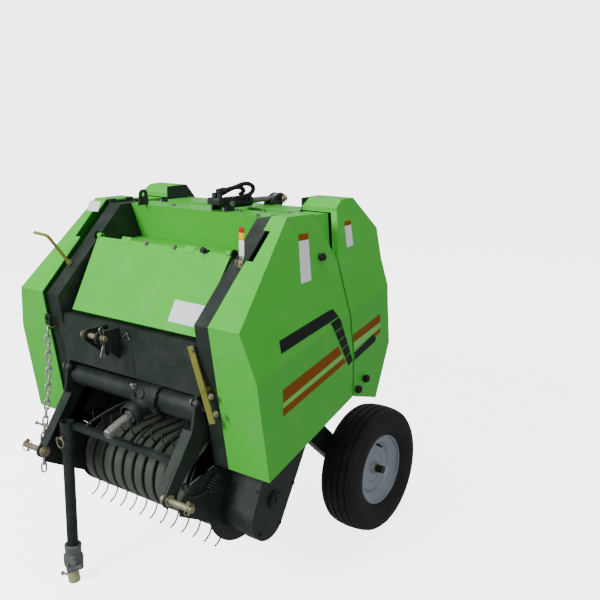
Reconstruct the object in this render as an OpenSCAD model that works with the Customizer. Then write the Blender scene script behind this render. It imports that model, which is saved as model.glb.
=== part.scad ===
// Small fixed-chamber round baler for a compact tractor, parked on its two wheels and its stand.
// Every piece is drawn with the machine level: +X is to the right for someone who stands at
// the tractor and looks at it, -Y points to the tractor, +Z is up and the tyres touch z = 0.
// The module parked() then tips the whole machine nose up about its axle, as it rests on the
// extended stand.

/* [Bale chamber] */
// Clear width between the chamber's side plates
chamber_w = 700; // [640:10:760]
// Thickness of the chamber's side plates
side_t = 5; // [3:1:8]
// Height of the chamber's centre above the ground
chamber_z = 830; // [822:1:834]
// Radius of the ring on which the rollers' axes lie
ring_r = 280; // [272:1:284]
// Radius of a roller over its tube
roller_r = 30; // [24:1:34]
// Height of the driving ribs on a roller
roller_rib = 5; // [3:1:7]
// Radius of a roller's stub shaft
roller_shaft_r = 12; // [8:1:15]

/* [Wheels] */
// Radius of a tyre
tyre_r = 250; // [240:1:262]
// Width of a tyre
tyre_w = 160; // [140:5:180]
// Radius of the rim's edge
rim_r = 136; // [125:1:145]
// Distance of a tyre's middle from the machine's middle
wheel_x = 516; // [505:1:530]
// Radius of the stub axle in the hub
stub_r = 15; // [12:1:20]

/* [Side guards] */
// Distance of the guards' outer faces from the machine's middle
guard_x = 602; // [590:1:620]
// Thickness of the guard sheet
guard_t = 3; // [2:0.5:5]
// Gap between a front guard and the tailgate guard behind it
guard_gap = 8; // [6:1:14]
// Lean of the upper half of a guard, inwards, in degrees
guard_lean = 15.6; // [12:0.2:18]
// Width of the guards' folded edges
guard_lip = 25; // [15:1:40]

/* [Front cover and twine box] */
// Thickness of the cover and the twine box's sheet
sheet_t = 3; // [2:0.5:4]
// Gap between the cover's hinge edge and a side plate
cover_gap = 8; // [6:1:20]
// How far each side edge of the cover runs inwards on its way down
cover_taper = 22; // [10:1:40]
// Length of the cover's folded lip
cover_lip = 22; // [12:1:30]

/* [Pickup] */
// Radius of the reel at the tips of its tines
tine_reach = 200; // [180:1:205]
// Radius of the curved stripper bands
band_r = 140; // [125:1:150]
// Width of one stripper band
band_w = 40; // [34:1:42]
// Distance from the chamber's side to the outermost tines
band_edge = 14; // [13:1:20]
// Number of stripper bands
band_count = 12; // [10:2:12]
// Thickness of a stripper band
band_t = 4; // [3:1:6]
// Radius of a tine's wire
tine_r = 2.5; // [2:0.5:3]
// Number of tine bars on the reel
tine_bars = 3; // [2:1:5]

/* [Hitch] */
// Distance between the shoulders of the two lower hitch pins
hitch_span = 683; // [660:1:700]
// Radius of a lower hitch pin
hitch_pin_r = 11; // [10:0.5:14]
// Length of a lower hitch pin outside its shoulder
hitch_pin_l = 100; // [80:1:120]
// Radius of the top link's pin
top_pin_r = 9.5; // [8:0.5:12]
// Clear gap between the top link's two ears
top_gap = 52; // [44:1:60]
// Radius of the power input shaft
input_r = 17.5; // [15:0.5:20]
// Length of the power input shaft outside its hub
input_l = 108; // [90:1:115]

/* [Stand and parking] */
// Nose-up angle at which the machine rests on its stand, in degrees
nose_up = 7.8; // [6:0.1:9]
// Outer radius of the stand's tube
leg_r = 21; // [18:0.5:24]
// Wall of the stand's sleeve
sleeve_t = 5; // [4:0.5:7]

/* [Tailgate cylinder] */
// Outer radius of the cylinder's barrel
barrel_r = 22; // [18:1:26]
// Radius of the cylinder's rod
rod_r = 11; // [9:0.5:13]
// Radius of the pins at both ends of the cylinder
cyl_pin_r = 8; // [7:0.5:10]

/* [Hidden] */
$fn = 40;

// Paint and metal
leaf = [0.36, 0.70, 0.28];
frame_grey = [0.20, 0.24, 0.22];
zinc = [0.55, 0.55, 0.35];
steel = [0.60, 0.60, 0.60];
black = [0.08, 0.08, 0.09];
rim_grey = [0.45, 0.50, 0.53];

// Running clearances
run = 0.05;
seat = 0.3;
swing = 6;

// Main places, as [y, z] in the level machine
wheel_at = [344, tyre_r];
chamber_at = [-5, chamber_z];
gate_hinge_at = [35, 1250];
cover_hinge_at = [-271, 1180];
reel_at = [-255, 318];
half_w = chamber_w / 2;
side_out = half_w + side_t;

// Outlines of the side, as lists of [y, z]
guard_top = [-161, 1305];
guard_nose = [-480, 983];
guard_low = [-391, 475];
seam = [[87, 633], [87, 788], [58, 967], [52, 1135], [-18, 1305]];
gate_back = [[102, 1341], [212, 1343], [316, 1225], [305, 1111], [317, 936], [332, 787], [243, 586]];
seam_y = 70;

// The line on the guard's side where the lower, upright half meets the leaning upper half
crease_at = [-449, 822];
crease_rise = 14.1;

function park_y(p) = wheel_at[0] + (p[0] - wheel_at[0]) * cos(nose_up) + (p[1] - wheel_at[1]) * sin(nose_up);
function park_z(p) = wheel_at[1] - (p[0] - wheel_at[0]) * sin(nose_up) + (p[1] - wheel_at[1]) * cos(nose_up);

// Lower hitch pins and the lugs' noses, which are the machine's front
hitch_at = [-580, 408];
lug_r = 25;
arm_t = 10;
arm_gap = 12.5;
arm_out = min(half_w - arm_gap, hitch_span / 2);
arm_x = arm_out - arm_t;
front_reach = park_y(hitch_at) - lug_r;
rear_reach = wheel_at[0] + tyre_r;
mid_shift = -(front_reach + rear_reach) / 2;

// Point where two straight lines meet, each given by a point and a direction
function cross2(a, b) = a[0] * b[1] - a[1] * b[0];
function meet(p, d, q, e) = p + d * cross2(q - p, e) / cross2(d, e);
function unit(v) = v / norm(v);
function left_of(v) = [-v[1], v[0]];

// Outline moved inwards by d, for points in anticlockwise order
function inset(pts, d) = [
    for (i = [0:len(pts) - 1])
        let (a = pts[(i + len(pts) - 1) % len(pts)], b = pts[i], c = pts[(i + 1) % len(pts)],
             u = unit(b - a), w = unit(c - b))
        meet(b + left_of(u) * d, u, b + left_of(w) * d, w)
];

// Places a piece of the level machine in the parked machine
module parked() {
    translate([0, mid_shift + wheel_at[0], wheel_at[1]])
        rotate([-nose_up, 0, 0])
            translate([0, -wheel_at[0], -wheel_at[1]])
                children();
}

// A sheet or block cut to a [y, z] outline, from x0 and t wide
module cut_plate(pts, x0, t) {
    translate([x0, 0, 0])
        rotate([90, 0, 90])
            linear_extrude(t)
                polygon(pts);
}

// A round bar across the machine from x0 to x1 at [y, z]
module cross_bar(at, r, x0, x1) {
    translate([x0, at[0], at[1]])
        rotate([0, 90, 0])
            cylinder(r = r, h = x1 - x0);
}

// A box across the machine, w wide in y and h high in z, centred on [y, z]
module cross_box(at, w, h, x0, x1) {
    translate([x0, at[0] - w / 2, at[1] - h / 2])
        cube([x1 - x0, w, h]);
}

// A plate with two round ends joined by its tangents
module link_plate(a, ra, b, rb, x0, t) {
    d = norm(b - a);
    u = (b - a) / d;
    lean = acos((ra - rb) / d);
    s1 = u * cos(lean) + left_of(u) * sin(lean);
    s2 = u * cos(lean) - left_of(u) * sin(lean);
    cross_bar(a, ra, x0, x0 + t);
    cross_bar(b, rb, x0, x0 + t);
    cut_plate([a + s2 * ra, b + s2 * rb, b + s1 * rb, a + s1 * ra], x0, t);
}

// A round bar between two points in space
module rod_between(a, b, r) {
    v = b - a;
    translate(a)
        rotate([0, acos(v[2] / norm(v)), atan2(v[1], v[0])])
            cylinder(r = r, h = norm(v));
}

module on_left() {
    mirror([1, 0, 0])
        children();
}

module on_both() {
    children();
    on_left()
        children();
}

// Chamber side plates

front_plate = [
    [-383, 470], [seam_y - swing / 2, 470], [seam_y - swing / 2, 1255], [45, 1275], [-10, 1290],
    [-150, 1290], [-465, 975]
];
flange_w = 62;
front_rollers = [90, 120, 150, 180, 210, 240, 270];
rear_rollers = [-60, -30, 0, 30, 60];

function roller_at(a) = chamber_at + ring_r * [cos(a), sin(a)];

module side_plate() {
    difference() {
        union() {
            cut_plate(front_plate, half_w, side_t);
            front_flange();
        }
        for (a = front_rollers)
            cross_bar(roller_at(a), roller_shaft_r + seat, half_w - 1, side_out + 1);
    }
    cross_bar(gate_hinge_at, gate_pin_r, half_w, hinge_cover_x);
    cross_bar(cover_hinge_at, 2 * cover_pin_r + 4, half_w, side_out);
    cross_bar(cover_hinge_at, cover_pin_r, half_w - cover_gap - cover_knuckle + 2, half_w + 1);
    guard_hinge_base();
}

// Knuckles, pin and top flange that carry a front guard
guard_hinge_at = [418, 1300];
knuckle_r = 6;
guard_pin_r = 3;
hinge_flange_y = [-150, -40];
fixed_knuckles = [[-150, -122], [-68, -40]];
guard_knuckle = [-120, -70];

// A round bar along the machine from y0 to y1 at [x, z]
module long_bar(at, r, y0, y1) {
    translate([at[0], y1, at[1]])
        rotate([90, 0, 0])
            cylinder(r = r, h = y1 - y0);
}

module guard_hinge_base() {
    top = front_plate[5][1];
    translate([half_w, hinge_flange_y[0], top - side_t])
        cube([guard_hinge_at[0] - half_w, hinge_flange_y[1] - hinge_flange_y[0], side_t]);
    long_bar(guard_hinge_at, guard_pin_r, hinge_flange_y[0], hinge_flange_y[1]);
    for (k = fixed_knuckles) {
        long_bar(guard_hinge_at, knuckle_r, k[0], k[1]);
        translate([guard_hinge_at[0] - knuckle_r, k[0], top - side_t])
            cube([knuckle_r, k[1] - k[0], guard_hinge_at[1] - top + side_t]);
    }
}

// The folded strip that the front cover and the guard close against
module front_flange() {
    inner = inset(front_plate, side_t);
    cut_plate([front_plate[0], inner[0], inner[6], front_plate[6]], half_w, side_t + flange_w);
    cut_plate([front_plate[6], inner[6], inner[5], front_plate[5]], half_w, side_t + flange_w);
}

module side_plate_right() {
    color(frame_grey) side_plate();
}

module side_plate_left() {
    color(frame_grey) on_left() side_plate();
}

// Front beam under the cover, a channel open to the rear

beam_y = -445;
beam_low = 728;
beam_high = 905;
beam_depth = 60;
beam_t = 5;

module front_beam() {
    color(frame_grey)
        cut_plate([
            [beam_y + beam_depth, beam_low], [beam_y + beam_depth, beam_low + beam_t],
            [beam_y + beam_t, beam_low + beam_t], [beam_y + beam_t, beam_high - beam_t],
            [beam_y + beam_depth, beam_high - beam_t], [beam_y + beam_depth, beam_high],
            [beam_y, beam_high], [beam_y, beam_low]
        ], -half_w, chamber_w);
}

// Gearbox, its cross tubes and the input shaft

tube_at = [-405, 665];
gear_x = 75;
thin_r = 38;
fat_r = 48;
input_drop = 20;
gear_r = 62;
hub_r = 36;
hub_l = 90;
thin_to = -arm_x;
fat_to = arm_x;
flange_r = 60;
journal_l = 40;
journal_step = 5;

module drive_tubes() {
    color(frame_grey) {
        cross_bar(tube_at, thin_r, thin_to, gear_x - gear_r);
        cross_bar(tube_at, fat_r, gear_x + gear_r, fat_to);
        cross_bar(tube_at, flange_r, gear_x + gear_r, gear_x + gear_r + 14);
    }
}

// Along the input axis, which drops towards the tractor
module input_axis() {
    translate([gear_x, tube_at[0], tube_at[1] - 12])
        rotate([90 + input_drop, 0, 0])
            children();
}

module gearbox() {
    color(frame_grey) {
        difference() {
            union() {
                translate([gear_x, tube_at[0], tube_at[1]])
                    rotate([0, 90, 0])
                        cylinder(r = gear_r - 6, h = 2 * gear_r, center = true);
                input_axis()
                    cylinder(r = hub_r, h = hub_l + 20);
                input_axis()
                    translate([0, 0, hub_l + 6])
                        cylinder(r = hub_r + 5, h = 14);
            }
            input_axis()
                translate([0, 0, hub_l - journal_l])
                    cylinder(r = input_r + journal_step + run, h = journal_l + 40);
        }
    }
}

module input_shaft() {
    color(steel)
        input_axis()
            translate([0, 0, hub_l - journal_l]) {
                cylinder(r = input_r + journal_step, h = journal_l + 20);
                cylinder(r = input_r, h = journal_l + 20 + input_l);
            }
}

// Hitch arms, pins and crossbar

arm_flange = 34;
crossbar_at = [-505, 505];
crossbar_w = 22;
stand_x = -262;
stand_y = -520;

spigot_r = hitch_pin_r + 3;
pin_collar_r = hitch_pin_r + 9;

module hitch_arm() {
    brow = [[-470, 610], hitch_at + [-12, 29]];
    fold = left_of(unit(brow[1] - brow[0])) * side_t;
    arm = [
        [-357, 598], [-357, beam_low], [-445, beam_low], brow[0], hitch_at + [-18, 17],
        hitch_at + [14, -22], [-500, 470]
    ];
    difference() {
        union() {
            cut_plate(arm, arm_x, arm_t);
            cross_bar(hitch_at, lug_r, arm_x, arm_out);
            cut_plate([brow[0], brow[1], brow[1] + fold, brow[0] + fold], arm_x - arm_flange, arm_flange);
        }
        cross_bar(hitch_at, spigot_r + run, arm_x - 1, arm_out + 1);
    }
}

module hitch_arm_right() {
    color(frame_grey) hitch_arm();
}

module hitch_arm_left() {
    color(frame_grey) on_left() hitch_arm();
}

module hitch_pins() {
    color(zinc)
        on_both() {
            cross_bar(hitch_at, hitch_pin_r, arm_out, hitch_span / 2 + hitch_pin_l);
            cross_bar(hitch_at, spigot_r, arm_x - 20, arm_out);
            cross_bar(hitch_at, pin_collar_r, arm_x - 14, arm_x - seat);
            if (hitch_span / 2 > arm_out)
                cross_bar(hitch_at, pin_collar_r, arm_out, hitch_span / 2);
        }
}

module hitch_crossbar() {
    color(frame_grey)
        cross_box(crossbar_at, crossbar_w, crossbar_w, stand_x + leg_r + sleeve_t + seat, arm_x);
}

// Top link ears, bored for the top link's pin

top_at = [-525, 878];
top_x = -75;
ear_t = 10;
ear_r = 24;
ear_root = [785, 900];

module top_link_ears() {
    color(frame_grey)
        difference() {
            for (side = [-1, 1])
                translate([top_x + side * (top_gap + ear_t) / 2 - ear_t / 2, 0, 0]) {
                    cross_bar(top_at, ear_r, 0, ear_t);
                    cut_plate([
                        top_at + ear_r * [cos(110), sin(110)], top_at + ear_r * [cos(210), sin(210)],
                        [beam_y, ear_root[0]], [beam_y, ear_root[1]]
                    ], 0, ear_t);
                }
            cross_bar(top_at, top_pin_r + run, top_x - 60, top_x + 60);
        }
}

// Stand: a sleeve on the left arm, a tube that slides in it and a cast foot

sleeve_top = 522;
sleeve_low = 410;
foot_z = wheel_at[1] + (-wheel_at[1] + (stand_y - wheel_at[0]) * sin(nose_up)) / cos(nose_up);
leg_z0 = foot_z + 60;

module stand_sleeve() {
    color(frame_grey) {
        difference() {
            union() {
                translate([stand_x, stand_y, sleeve_low])
                    cylinder(r = leg_r + sleeve_t, h = sleeve_top - sleeve_low);
                translate([-arm_x, stand_y - 6, sleeve_low + 40])
                    cube([arm_x + stand_x - leg_r - sleeve_t + 2, 12, 70]);
            }
            translate([stand_x, stand_y, sleeve_low - 1])
                cylinder(r = leg_r + seat, h = sleeve_top - sleeve_low + 2);
        }
    }
}

module stand_leg() {
    color(frame_grey)
        difference() {
            translate([stand_x, stand_y, leg_z0])
                cylinder(r = leg_r, h = sleeve_top - leg_z0 - 4);
            translate([stand_x, stand_y, leg_z0 + 10])
                cylinder(r = leg_r - 4, h = sleeve_top - leg_z0);
        }
}

// Cast yoke around the tube's end on a plated stub, which is turned back by the parking angle so
// that it stands flat on the ground
stub_foot_r = 18;
stub_foot_h = 46;
cheek_t = 7;
cheek_w = 40;

module stand_foot() {
    color(steel) {
        translate([stand_x, stand_y, foot_z])
            rotate([nose_up, 0, 0])
                cylinder(r = stub_foot_r, h = stub_foot_h);
        translate([stand_x - leg_r - cheek_t, stand_y - cheek_w / 2, foot_z + 34])
            cube([2 * (leg_r + cheek_t), cheek_w, leg_z0 - foot_z - 34]);
        for (side = [-1, 1])
            translate([stand_x + side * (leg_r + cheek_t / 2), stand_y, leg_z0 + 27])
                cube([cheek_t, cheek_w, 56], center = true);
        cross_bar([stand_y, leg_z0 + 38], 9, stand_x - leg_r - cheek_t - 6, stand_x - leg_r);
        cross_bar([stand_y, leg_z0 + 38], 9, stand_x + leg_r, stand_x + leg_r + cheek_t + 6);
    }
}

// Axle beam, trailing arms and wheels

beam_size = 60;
axle_beam_at = [90, 440];
arm_root = axle_beam_at + [-30, 65];
arm_w = 40;

module axle_beam() {
    color(frame_grey) {
        cross_box(axle_beam_at, beam_size, beam_size, -half_w, half_w);
    }
}

module axle_arms() {
    color(frame_grey)
        on_both() {
            link_plate(arm_root, 45, wheel_at, 42, side_out, arm_w);
            cross_bar(wheel_at, stub_r, side_out + 4, wheel_x + 66);
        }
}

// Section of the tyre above the rim, as [distance across, radius]
bead_half = tyre_w / 2 * 0.62;

module tyre_section() {
    h = tyre_w / 2;
    polygon([
        [-bead_half, rim_r], [bead_half, rim_r], [h * 0.82, rim_r + 18], [h, rim_r + 58],
        [h * 0.96, tyre_r - 32], [h * 0.78, tyre_r - 10], [h * 0.4, tyre_r - 1], [0, tyre_r],
        [-h * 0.4, tyre_r - 1], [-h * 0.78, tyre_r - 10], [-h * 0.96, tyre_r - 32],
        [-h, rim_r + 58], [-h * 0.82, rim_r + 18]
    ]);
}

module tyre() {
    translate([wheel_x, wheel_at[0], wheel_at[1]])
        rotate([90, 0, 90])
            rotate_extrude($fn = 64)
                rotate(90)
                    mirror([0, 1])
                        tyre_section();
}

module rim() {
    translate([wheel_x, wheel_at[0], wheel_at[1]])
        rotate([90, 0, 90])
            rotate_extrude($fn = 64)
                polygon([
                    [stub_r + run, -60], [stub_r + 16, -60], [stub_r + 16, 24], [92, 24], [104, 8],
                    [104, 4 - bead_half], [rim_r - seat, -bead_half], [rim_r - seat, 6 - bead_half],
                    [110, 10 - bead_half], [110, bead_half - 12], [rim_r - seat, bead_half - 6],
                    [rim_r - seat, bead_half], [104, bead_half - 5], [98, 30], [stub_r + 22, 30],
                    [stub_r + 16, 52], [stub_r + run, 52]
                ]);
}

module tyre_right() {
    color(black) tyre();
}

module tyre_left() {
    color(black) on_left() tyre();
}

module rim_right() {
    color(rim_grey) rim();
}

module rim_left() {
    color(rim_grey) on_left() rim();
}

// Chamber rollers with driving ribs

rib_count = 6;

module roller(at) {
    translate([-half_w + 2, at[0], at[1]])
        rotate([90, 0, 90]) {
            cylinder(r = roller_r, h = chamber_w - 4);
            for (i = [1:rib_count])
                rotate(i * 360 / rib_count)
                    translate([roller_r - 2, -4, 0])
                        cube([roller_rib + 2, 8, chamber_w - 4]);
        }
    cross_bar(at, roller_shaft_r, -side_out, side_out);
}

module rollers_front() {
    color(steel)
        for (a = front_rollers)
            roller(roller_at(a));
}

module rollers_rear() {
    color(steel)
        for (a = rear_rollers)
            roller(roller_at(a));
}

// Twine box behind the cover: a floor, a leaning back panel and its top flange

box_back = [[-42, 1148], [-95, 1286]];
box_line = [[20, 1286], box_back[1], box_back[0], [-262, 1148], [-262, 1165]];

module twine_box() {
    color(leaf)
        cut_plate(folded(box_line, sheet_t), -half_w + seat, chamber_w - 2 * seat);
}

// Front cover, hinged along its upper edge

cover_low = [-424, 920];
cover_slope = atan2(cover_hinge_at[1] - cover_low[1], cover_hinge_at[0] - cover_low[0]);
cover_l = norm(cover_hinge_at - cover_low);
cover_top_w = chamber_w - 2 * cover_gap;
cover_low_w = cover_top_w - 2 * cover_taper;

module cover_sheet() {
    translate([0, cover_hinge_at[0], cover_hinge_at[1]])
        rotate([cover_slope, 0, 0]) {
            linear_extrude(sheet_t)
                polygon([
                    [-cover_top_w / 2, 0], [-cover_low_w / 2, -cover_l],
                    [cover_low_w / 2, -cover_l], [cover_top_w / 2, 0]
                ]);
            translate([-cover_low_w / 2, -cover_l, -cover_lip])
                cube([cover_low_w, sheet_t, cover_lip + 1]);
        }
}

cover_pin_r = 6;
cover_knuckle = 20;

module front_cover() {
    color(leaf)
        difference() {
            union() {
                cover_sheet();
                on_both()
                    translate([cover_top_w / 2 - cover_knuckle, 0, 0])
                        cross_bar(cover_hinge_at, cover_pin_r + 4, 0, cover_knuckle);
            }
            cross_bar(cover_hinge_at, cover_pin_r + run, -half_w, half_w);
        }
}

// Front guards: folded sheet shells, hinged along their top edge

guard_in = 425;

function front_guard_outline() = concat(
    [guard_top, guard_nose, guard_low],
    [for (p = seam) p - [guard_gap / 2, 0]]
);

module skin_body(pts, x_in, d) {
    intersection() {
        cut_plate(pts, x_in, guard_x - x_in);
        half_space(d);
    }
}

// The leaning face and the upright face together bound this space
module half_space(d) {
    translate([0, crease_at[0], crease_at[1]])
        rotate([crease_rise, 0, 0])
            rotate([90, 0, 0])
                linear_extrude(3000, center = true)
                    polygon([
                        [0, -1500], [guard_x - d, -1500], [guard_x - d, -d * tan(guard_lean / 2)],
                        [guard_x - d - 1500 * tan(guard_lean), 1500 - d * tan(guard_lean / 2)], [0, 1500]
                    ]);
}

// Folded sheet over an outline, whose edges reach in to x_in and only have a lip inside window
module shell(pts, x_in, window) {
    difference() {
        skin_body(pts, x_in, 0);
        skin_body(inset(pts, guard_t), x_in - 10, guard_t);
        skin_body(window, x_in - 10, guard_lip);
    }
}

// Notch in the inner edge of a front guard's top face, as two points on that face and its depth
notch = [[-205, 1261], [-295, 1169]];
notch_x = 455;

// A straight line's outline, d wide to each side
function strip(a, b, d) = let (n = left_of(unit(b - a)) * d) [a - n, b - n, b + n, a + n];

guard_window = [[-366, 440], [110, 580], [110, 1215], [0, 1215], [-366, 800]];

module front_guard() {
    leaf_w = guard_in + 10 - guard_hinge_at[0];
    difference() {
        union() {
            shell(front_guard_outline(), guard_in, guard_window);
            long_bar(guard_hinge_at, knuckle_r, guard_knuckle[0], guard_knuckle[1]);
            translate([guard_hinge_at[0], guard_knuckle[0], guard_top[1] - guard_t])
                cube([leaf_w, guard_knuckle[1] - guard_knuckle[0], guard_t]);
        }
        long_bar(guard_hinge_at, guard_pin_r + run, guard_knuckle[0] - 1, guard_knuckle[1] + 1);
        cut_plate(strip(notch[0], notch[1], 12), guard_in - 1, notch_x - guard_in + 1);
    }
}

module guard_right() {
    color(leaf) front_guard();
}

module guard_left() {
    color(leaf) on_left() front_guard();
}

// Pickup: end plates, stripper bands, reel, drive cover and wind guard

reel_tube_r = 30;
bar_ring = 95;
tine_phase = 31.5;
bar_r = 9;
reel_shaft_r = 14;
rail_r = 15;
rail_high = reel_at + [tine_reach * 0.85, band_r + rail_r];
rail_low = reel_at + [tine_reach * 0.93, -band_r + 15];
end_t = 6;

// Front wing of the end plates, which runs out to the hitch arms
end_wing = [[-556, 350], [-340, 232], [-300, 400], [-383, 466], [-500, 440], [-556, 400]];
end_r_left = band_r;
end_r_right = band_r + 28;

module pickup_end(end_r) {
    difference() {
        union() {
            cross_bar(reel_at, end_r, side_out, side_out + end_t);
            cut_plate(end_wing, side_out, end_t);
            cut_plate([
                reel_at + [0, -end_r], rail_low + [30, -30], rail_low + [40, 20],
                [-20, 560], [-180, 560], reel_at + [-60, band_r]
            ], side_out, end_t);
        }
        cross_bar(reel_at, reel_shaft_r + run, side_out - 1, side_out + end_t + 1);
        cross_bar(rail_low, rail_r + run, side_out - 1, side_out + end_t + 1);
    }
}

module pickup_end_right() {
    color(frame_grey) pickup_end(end_r_right);
}

module pickup_end_left() {
    color(frame_grey) on_left() pickup_end(end_r_left);
}

band_pitch = (chamber_w - 2 * band_edge) / band_count;
band_x0 = -(band_count - 1) / 2 * band_pitch;

module stripper_band() {
    translate([-band_w / 2, reel_at[0], reel_at[1]])
        rotate([90, 0, 90])
            rotate(90)
                rotate_extrude(angle = 180)
                    translate([band_r - band_t, 0])
                        square([band_t, band_w]);
    translate([-band_w / 2, reel_at[0] - 0.5, reel_at[1] + band_r - band_t])
        cube([band_w, rail_high[0] - reel_at[0], band_t]);
    translate([-band_w / 2, reel_at[0] - 0.5, reel_at[1] - band_r])
        cube([band_w, rail_low[0] - reel_at[0], band_t]);
}

module stripper_bands() {
    color(frame_grey) {
        for (i = [0:band_count - 1])
            translate([band_x0 + i * band_pitch, 0, 0])
                stripper_band();
        cross_bar(rail_high, rail_r, -half_w + seat, half_w - seat);
        cross_bar(rail_low, rail_r, -side_out - end_t, side_out + end_t);
    }
}

module tine(x) {
    translate([x, 0, bar_ring])
        cylinder(r = tine_r, h = tine_reach - bar_ring - 30);
    translate([x, 0, tine_reach - 30])
        rotate([25, 0, 0])
            cylinder(r = tine_r, h = 30);
}

module pickup_reel() {
    color(steel)
        translate([0, reel_at[0], reel_at[1]]) {
            rotate([0, 90, 0])
                cylinder(r = reel_tube_r, h = chamber_w - 20, center = true);
            rotate([0, 90, 0])
                cylinder(r = reel_shaft_r, h = 2 * (side_out + end_t - 1), center = true);
            for (k = [0:tine_bars - 1])
                rotate([k * 360 / tine_bars + tine_phase, 0, 0]) {
                    translate([0, 0, bar_ring])
                        rotate([0, 90, 0])
                            cylinder(r = bar_r, h = chamber_w - 20, center = true);
                    for (s = [-1, 0, 1])
                        translate([s * (chamber_w / 2 - 20) - 4, -12, 0])
                            cube([8, 24, bar_ring]);
                    for (i = [0:band_count])
                        tine(band_x0 + (i - 0.5) * band_pitch);
                }
        }
}

// Drive cover on the right end in two steps, the outer one wider by drive_step
drive_low = reel_at + [-32, -30];
drive_low_r = 77;
drive_high = [-140, 570];
drive_high_r = 97;
drive_step = 8;
drive_inner_w = 100;
drive_outer_w = 50;

module pickup_drive_cover() {
    x0 = side_out + end_t;
    color(frame_grey) {
        link_plate(drive_low, drive_low_r, drive_high, drive_high_r, x0, drive_inner_w);
        link_plate(
            drive_low, drive_low_r + drive_step, drive_high, drive_high_r + drive_step,
            x0 + drive_inner_w, drive_outer_w
        );
    }
}

module wind_guard() {
    color(steel) {
        for (x = [-180, 0, 180])
            rod_between([x, -400, 520], [x, -250, 600], 4);
        cross_bar([-250, 600], 8, -half_w + seat, half_w - seat);
    }
}

// Fittings on the front

// Chain from a stay on the left flange down to a peg on the left arm, in an even number of links,
// so that its end links stand across each other
chain_top = [-400, -472, 850];
chain_low = [-400, -560, 420];
wire_r = 3.2;
link_bend = 8.5;
link_half = 13.5;
link_step = 2 * (link_half + link_bend - wire_r) - seat;
link_count = 2 * floor(norm(chain_low - chain_top) / (2 * link_step));

module check_chain() {
    v = unit(chain_low - chain_top);
    color(steel) {
        for (i = [0:link_count - 1])
            translate(chain_top + v * (i + 0.5) * link_step)
                rotate([atan2(v[1], -v[2]), 0, 0])
                    rotate([0, 0, i % 2 * 90])
                        chain_link();
    }
}

stay_r = 4;
chain_end = chain_top + unit(chain_low - chain_top) * (link_count * link_step - stay_r - seat);
stay_reach = 12;
stay_head = 3;

// Rods through the chain's two end links, one on the left flange and one on the left arm
module chain_stays() {
    top = chain_top - [0, 0, stay_r + seat];
    color(zinc) {
        difference() {
            union() {
                rod_between(top - [0, stay_reach, 0], top + [0, 2 * stay_reach + 20, 0], stay_r);
                rod_between(top - [0, stay_reach, 0], top - [0, stay_reach - stay_head, 0], stay_r + 3);
            }
            on_left()
                cut_plate(front_plate, half_w, side_t + flange_w + 1);
        }
        on_left() {
            cross_bar([chain_end[1], chain_end[2]], stay_r, arm_out, stay_reach - chain_end[0]);
            cross_bar(
                [chain_end[1], chain_end[2]], stay_r + 3,
                stay_reach - chain_end[0] - stay_head, stay_reach - chain_end[0]
            );
        }
    }
}

// One link standing along Z: two straight sides and two bends
module chain_link() {
    for (side = [-1, 1]) {
        translate([side * link_bend, 0, -link_half])
            cylinder(r = wire_r, h = 2 * link_half, $fn = 6);
        translate([0, 0, side * link_half])
            rotate([90, 0, side > 0 ? 0 : 180])
                rotate_extrude(angle = side * 180, $fn = 12)
                    translate([link_bend, 0])
                        circle(r = wire_r, $fn = 6);
    }
}

module bale_indicator() {
    color(steel)
        translate([half_w + 46, -302, 1142 + seat])
            cube([22, 4, 140]);
}

handle_base = [-400, -364, 1088];
handle_knee = [-425, -450, 1185];
handle_end = [-470, -470, 1196];
handle_r = 5;

module twine_handle() {
    color(zinc) {
        for (p = [handle_base, handle_knee, handle_end])
            translate(p)
                sphere(r = handle_r + 3);
        rod_between(handle_base, handle_knee, handle_r);
        rod_between(handle_knee, handle_end, handle_r);
    }
}

// Flat bar on a pivot bolt in the right flange, leaning over the beam
density_w = 26;
density_t = 5;
density_l = 263;
density_lean = 21;
density_foot = [half_w + 58, 650];
density_y = -457;
density_pivot = 112;

module density_bar() {
    color(zinc)
        difference() {
            translate([density_foot[0], density_y, density_foot[1]])
                rotate([0, -density_lean, 0]) {
                    translate([0, -density_t, 0])
                        cube([density_w, density_t, density_l]);
                    translate([density_w / 2, 40, density_pivot])
                        rotate([90, 0, 0])
                            cylinder(r = 7, h = 40 + density_t + 3);
                }
            cut_plate(front_plate, half_w, side_t + flange_w + 1);
        }
}

module lift_eye() {
    color(frame_grey)
        difference() {
            link_plate([-110, 1330], 20, [-110, 1296], 24, -270, 8);
            cross_bar([-110, 1330], 9, -280, -250);
            translate([-300, -200, 1200])
                cube([100, 200, 1286 + sheet_t - 1200]);
        }
}

// Tailgate

gate_pin_r = 12;
hinge_pad = 6;
hinge_ear_t = 8;
hinge_foot = gate_hinge_at + [95, 0];
hinge_cover_x = side_out + hinge_pad + hinge_ear_t + 7;
gate_plate = concat(
    [[seam_y + swing / 2, 560]],
    [for (i = [len(gate_back) - 1:-1:0]) gate_back[i]],
    [[102, 1300], [seam_y + swing / 2, 1281]]
);

module tailgate_side() {
    difference() {
        cut_plate(gate_plate, half_w, side_t);
        for (a = rear_rollers)
            cross_bar(roller_at(a), roller_shaft_r + seat, half_w - 1, side_out + 1);
    }
}

module tailgate_side_right() {
    color(frame_grey) tailgate_side();
}

module tailgate_side_left() {
    color(frame_grey) on_left() tailgate_side();
}

module tailgate_hinges() {
    color(frame_grey)
        on_both()
            difference() {
                union() {
                    link_plate(gate_hinge_at, 26, hinge_foot, 30, side_out + hinge_pad, hinge_ear_t);
                    cross_bar(hinge_foot, 30, side_out, side_out + hinge_pad);
                }
                cross_bar(gate_hinge_at, gate_pin_r + run, side_out, side_out + 40);
            }
}

// The tailgate's outer skin between its side plates
skin_pts = [[321, 785], [306, 936], [294, 1111], [300, 1219], [240, 1285], [102, 1285], [102, 1240]];

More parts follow.
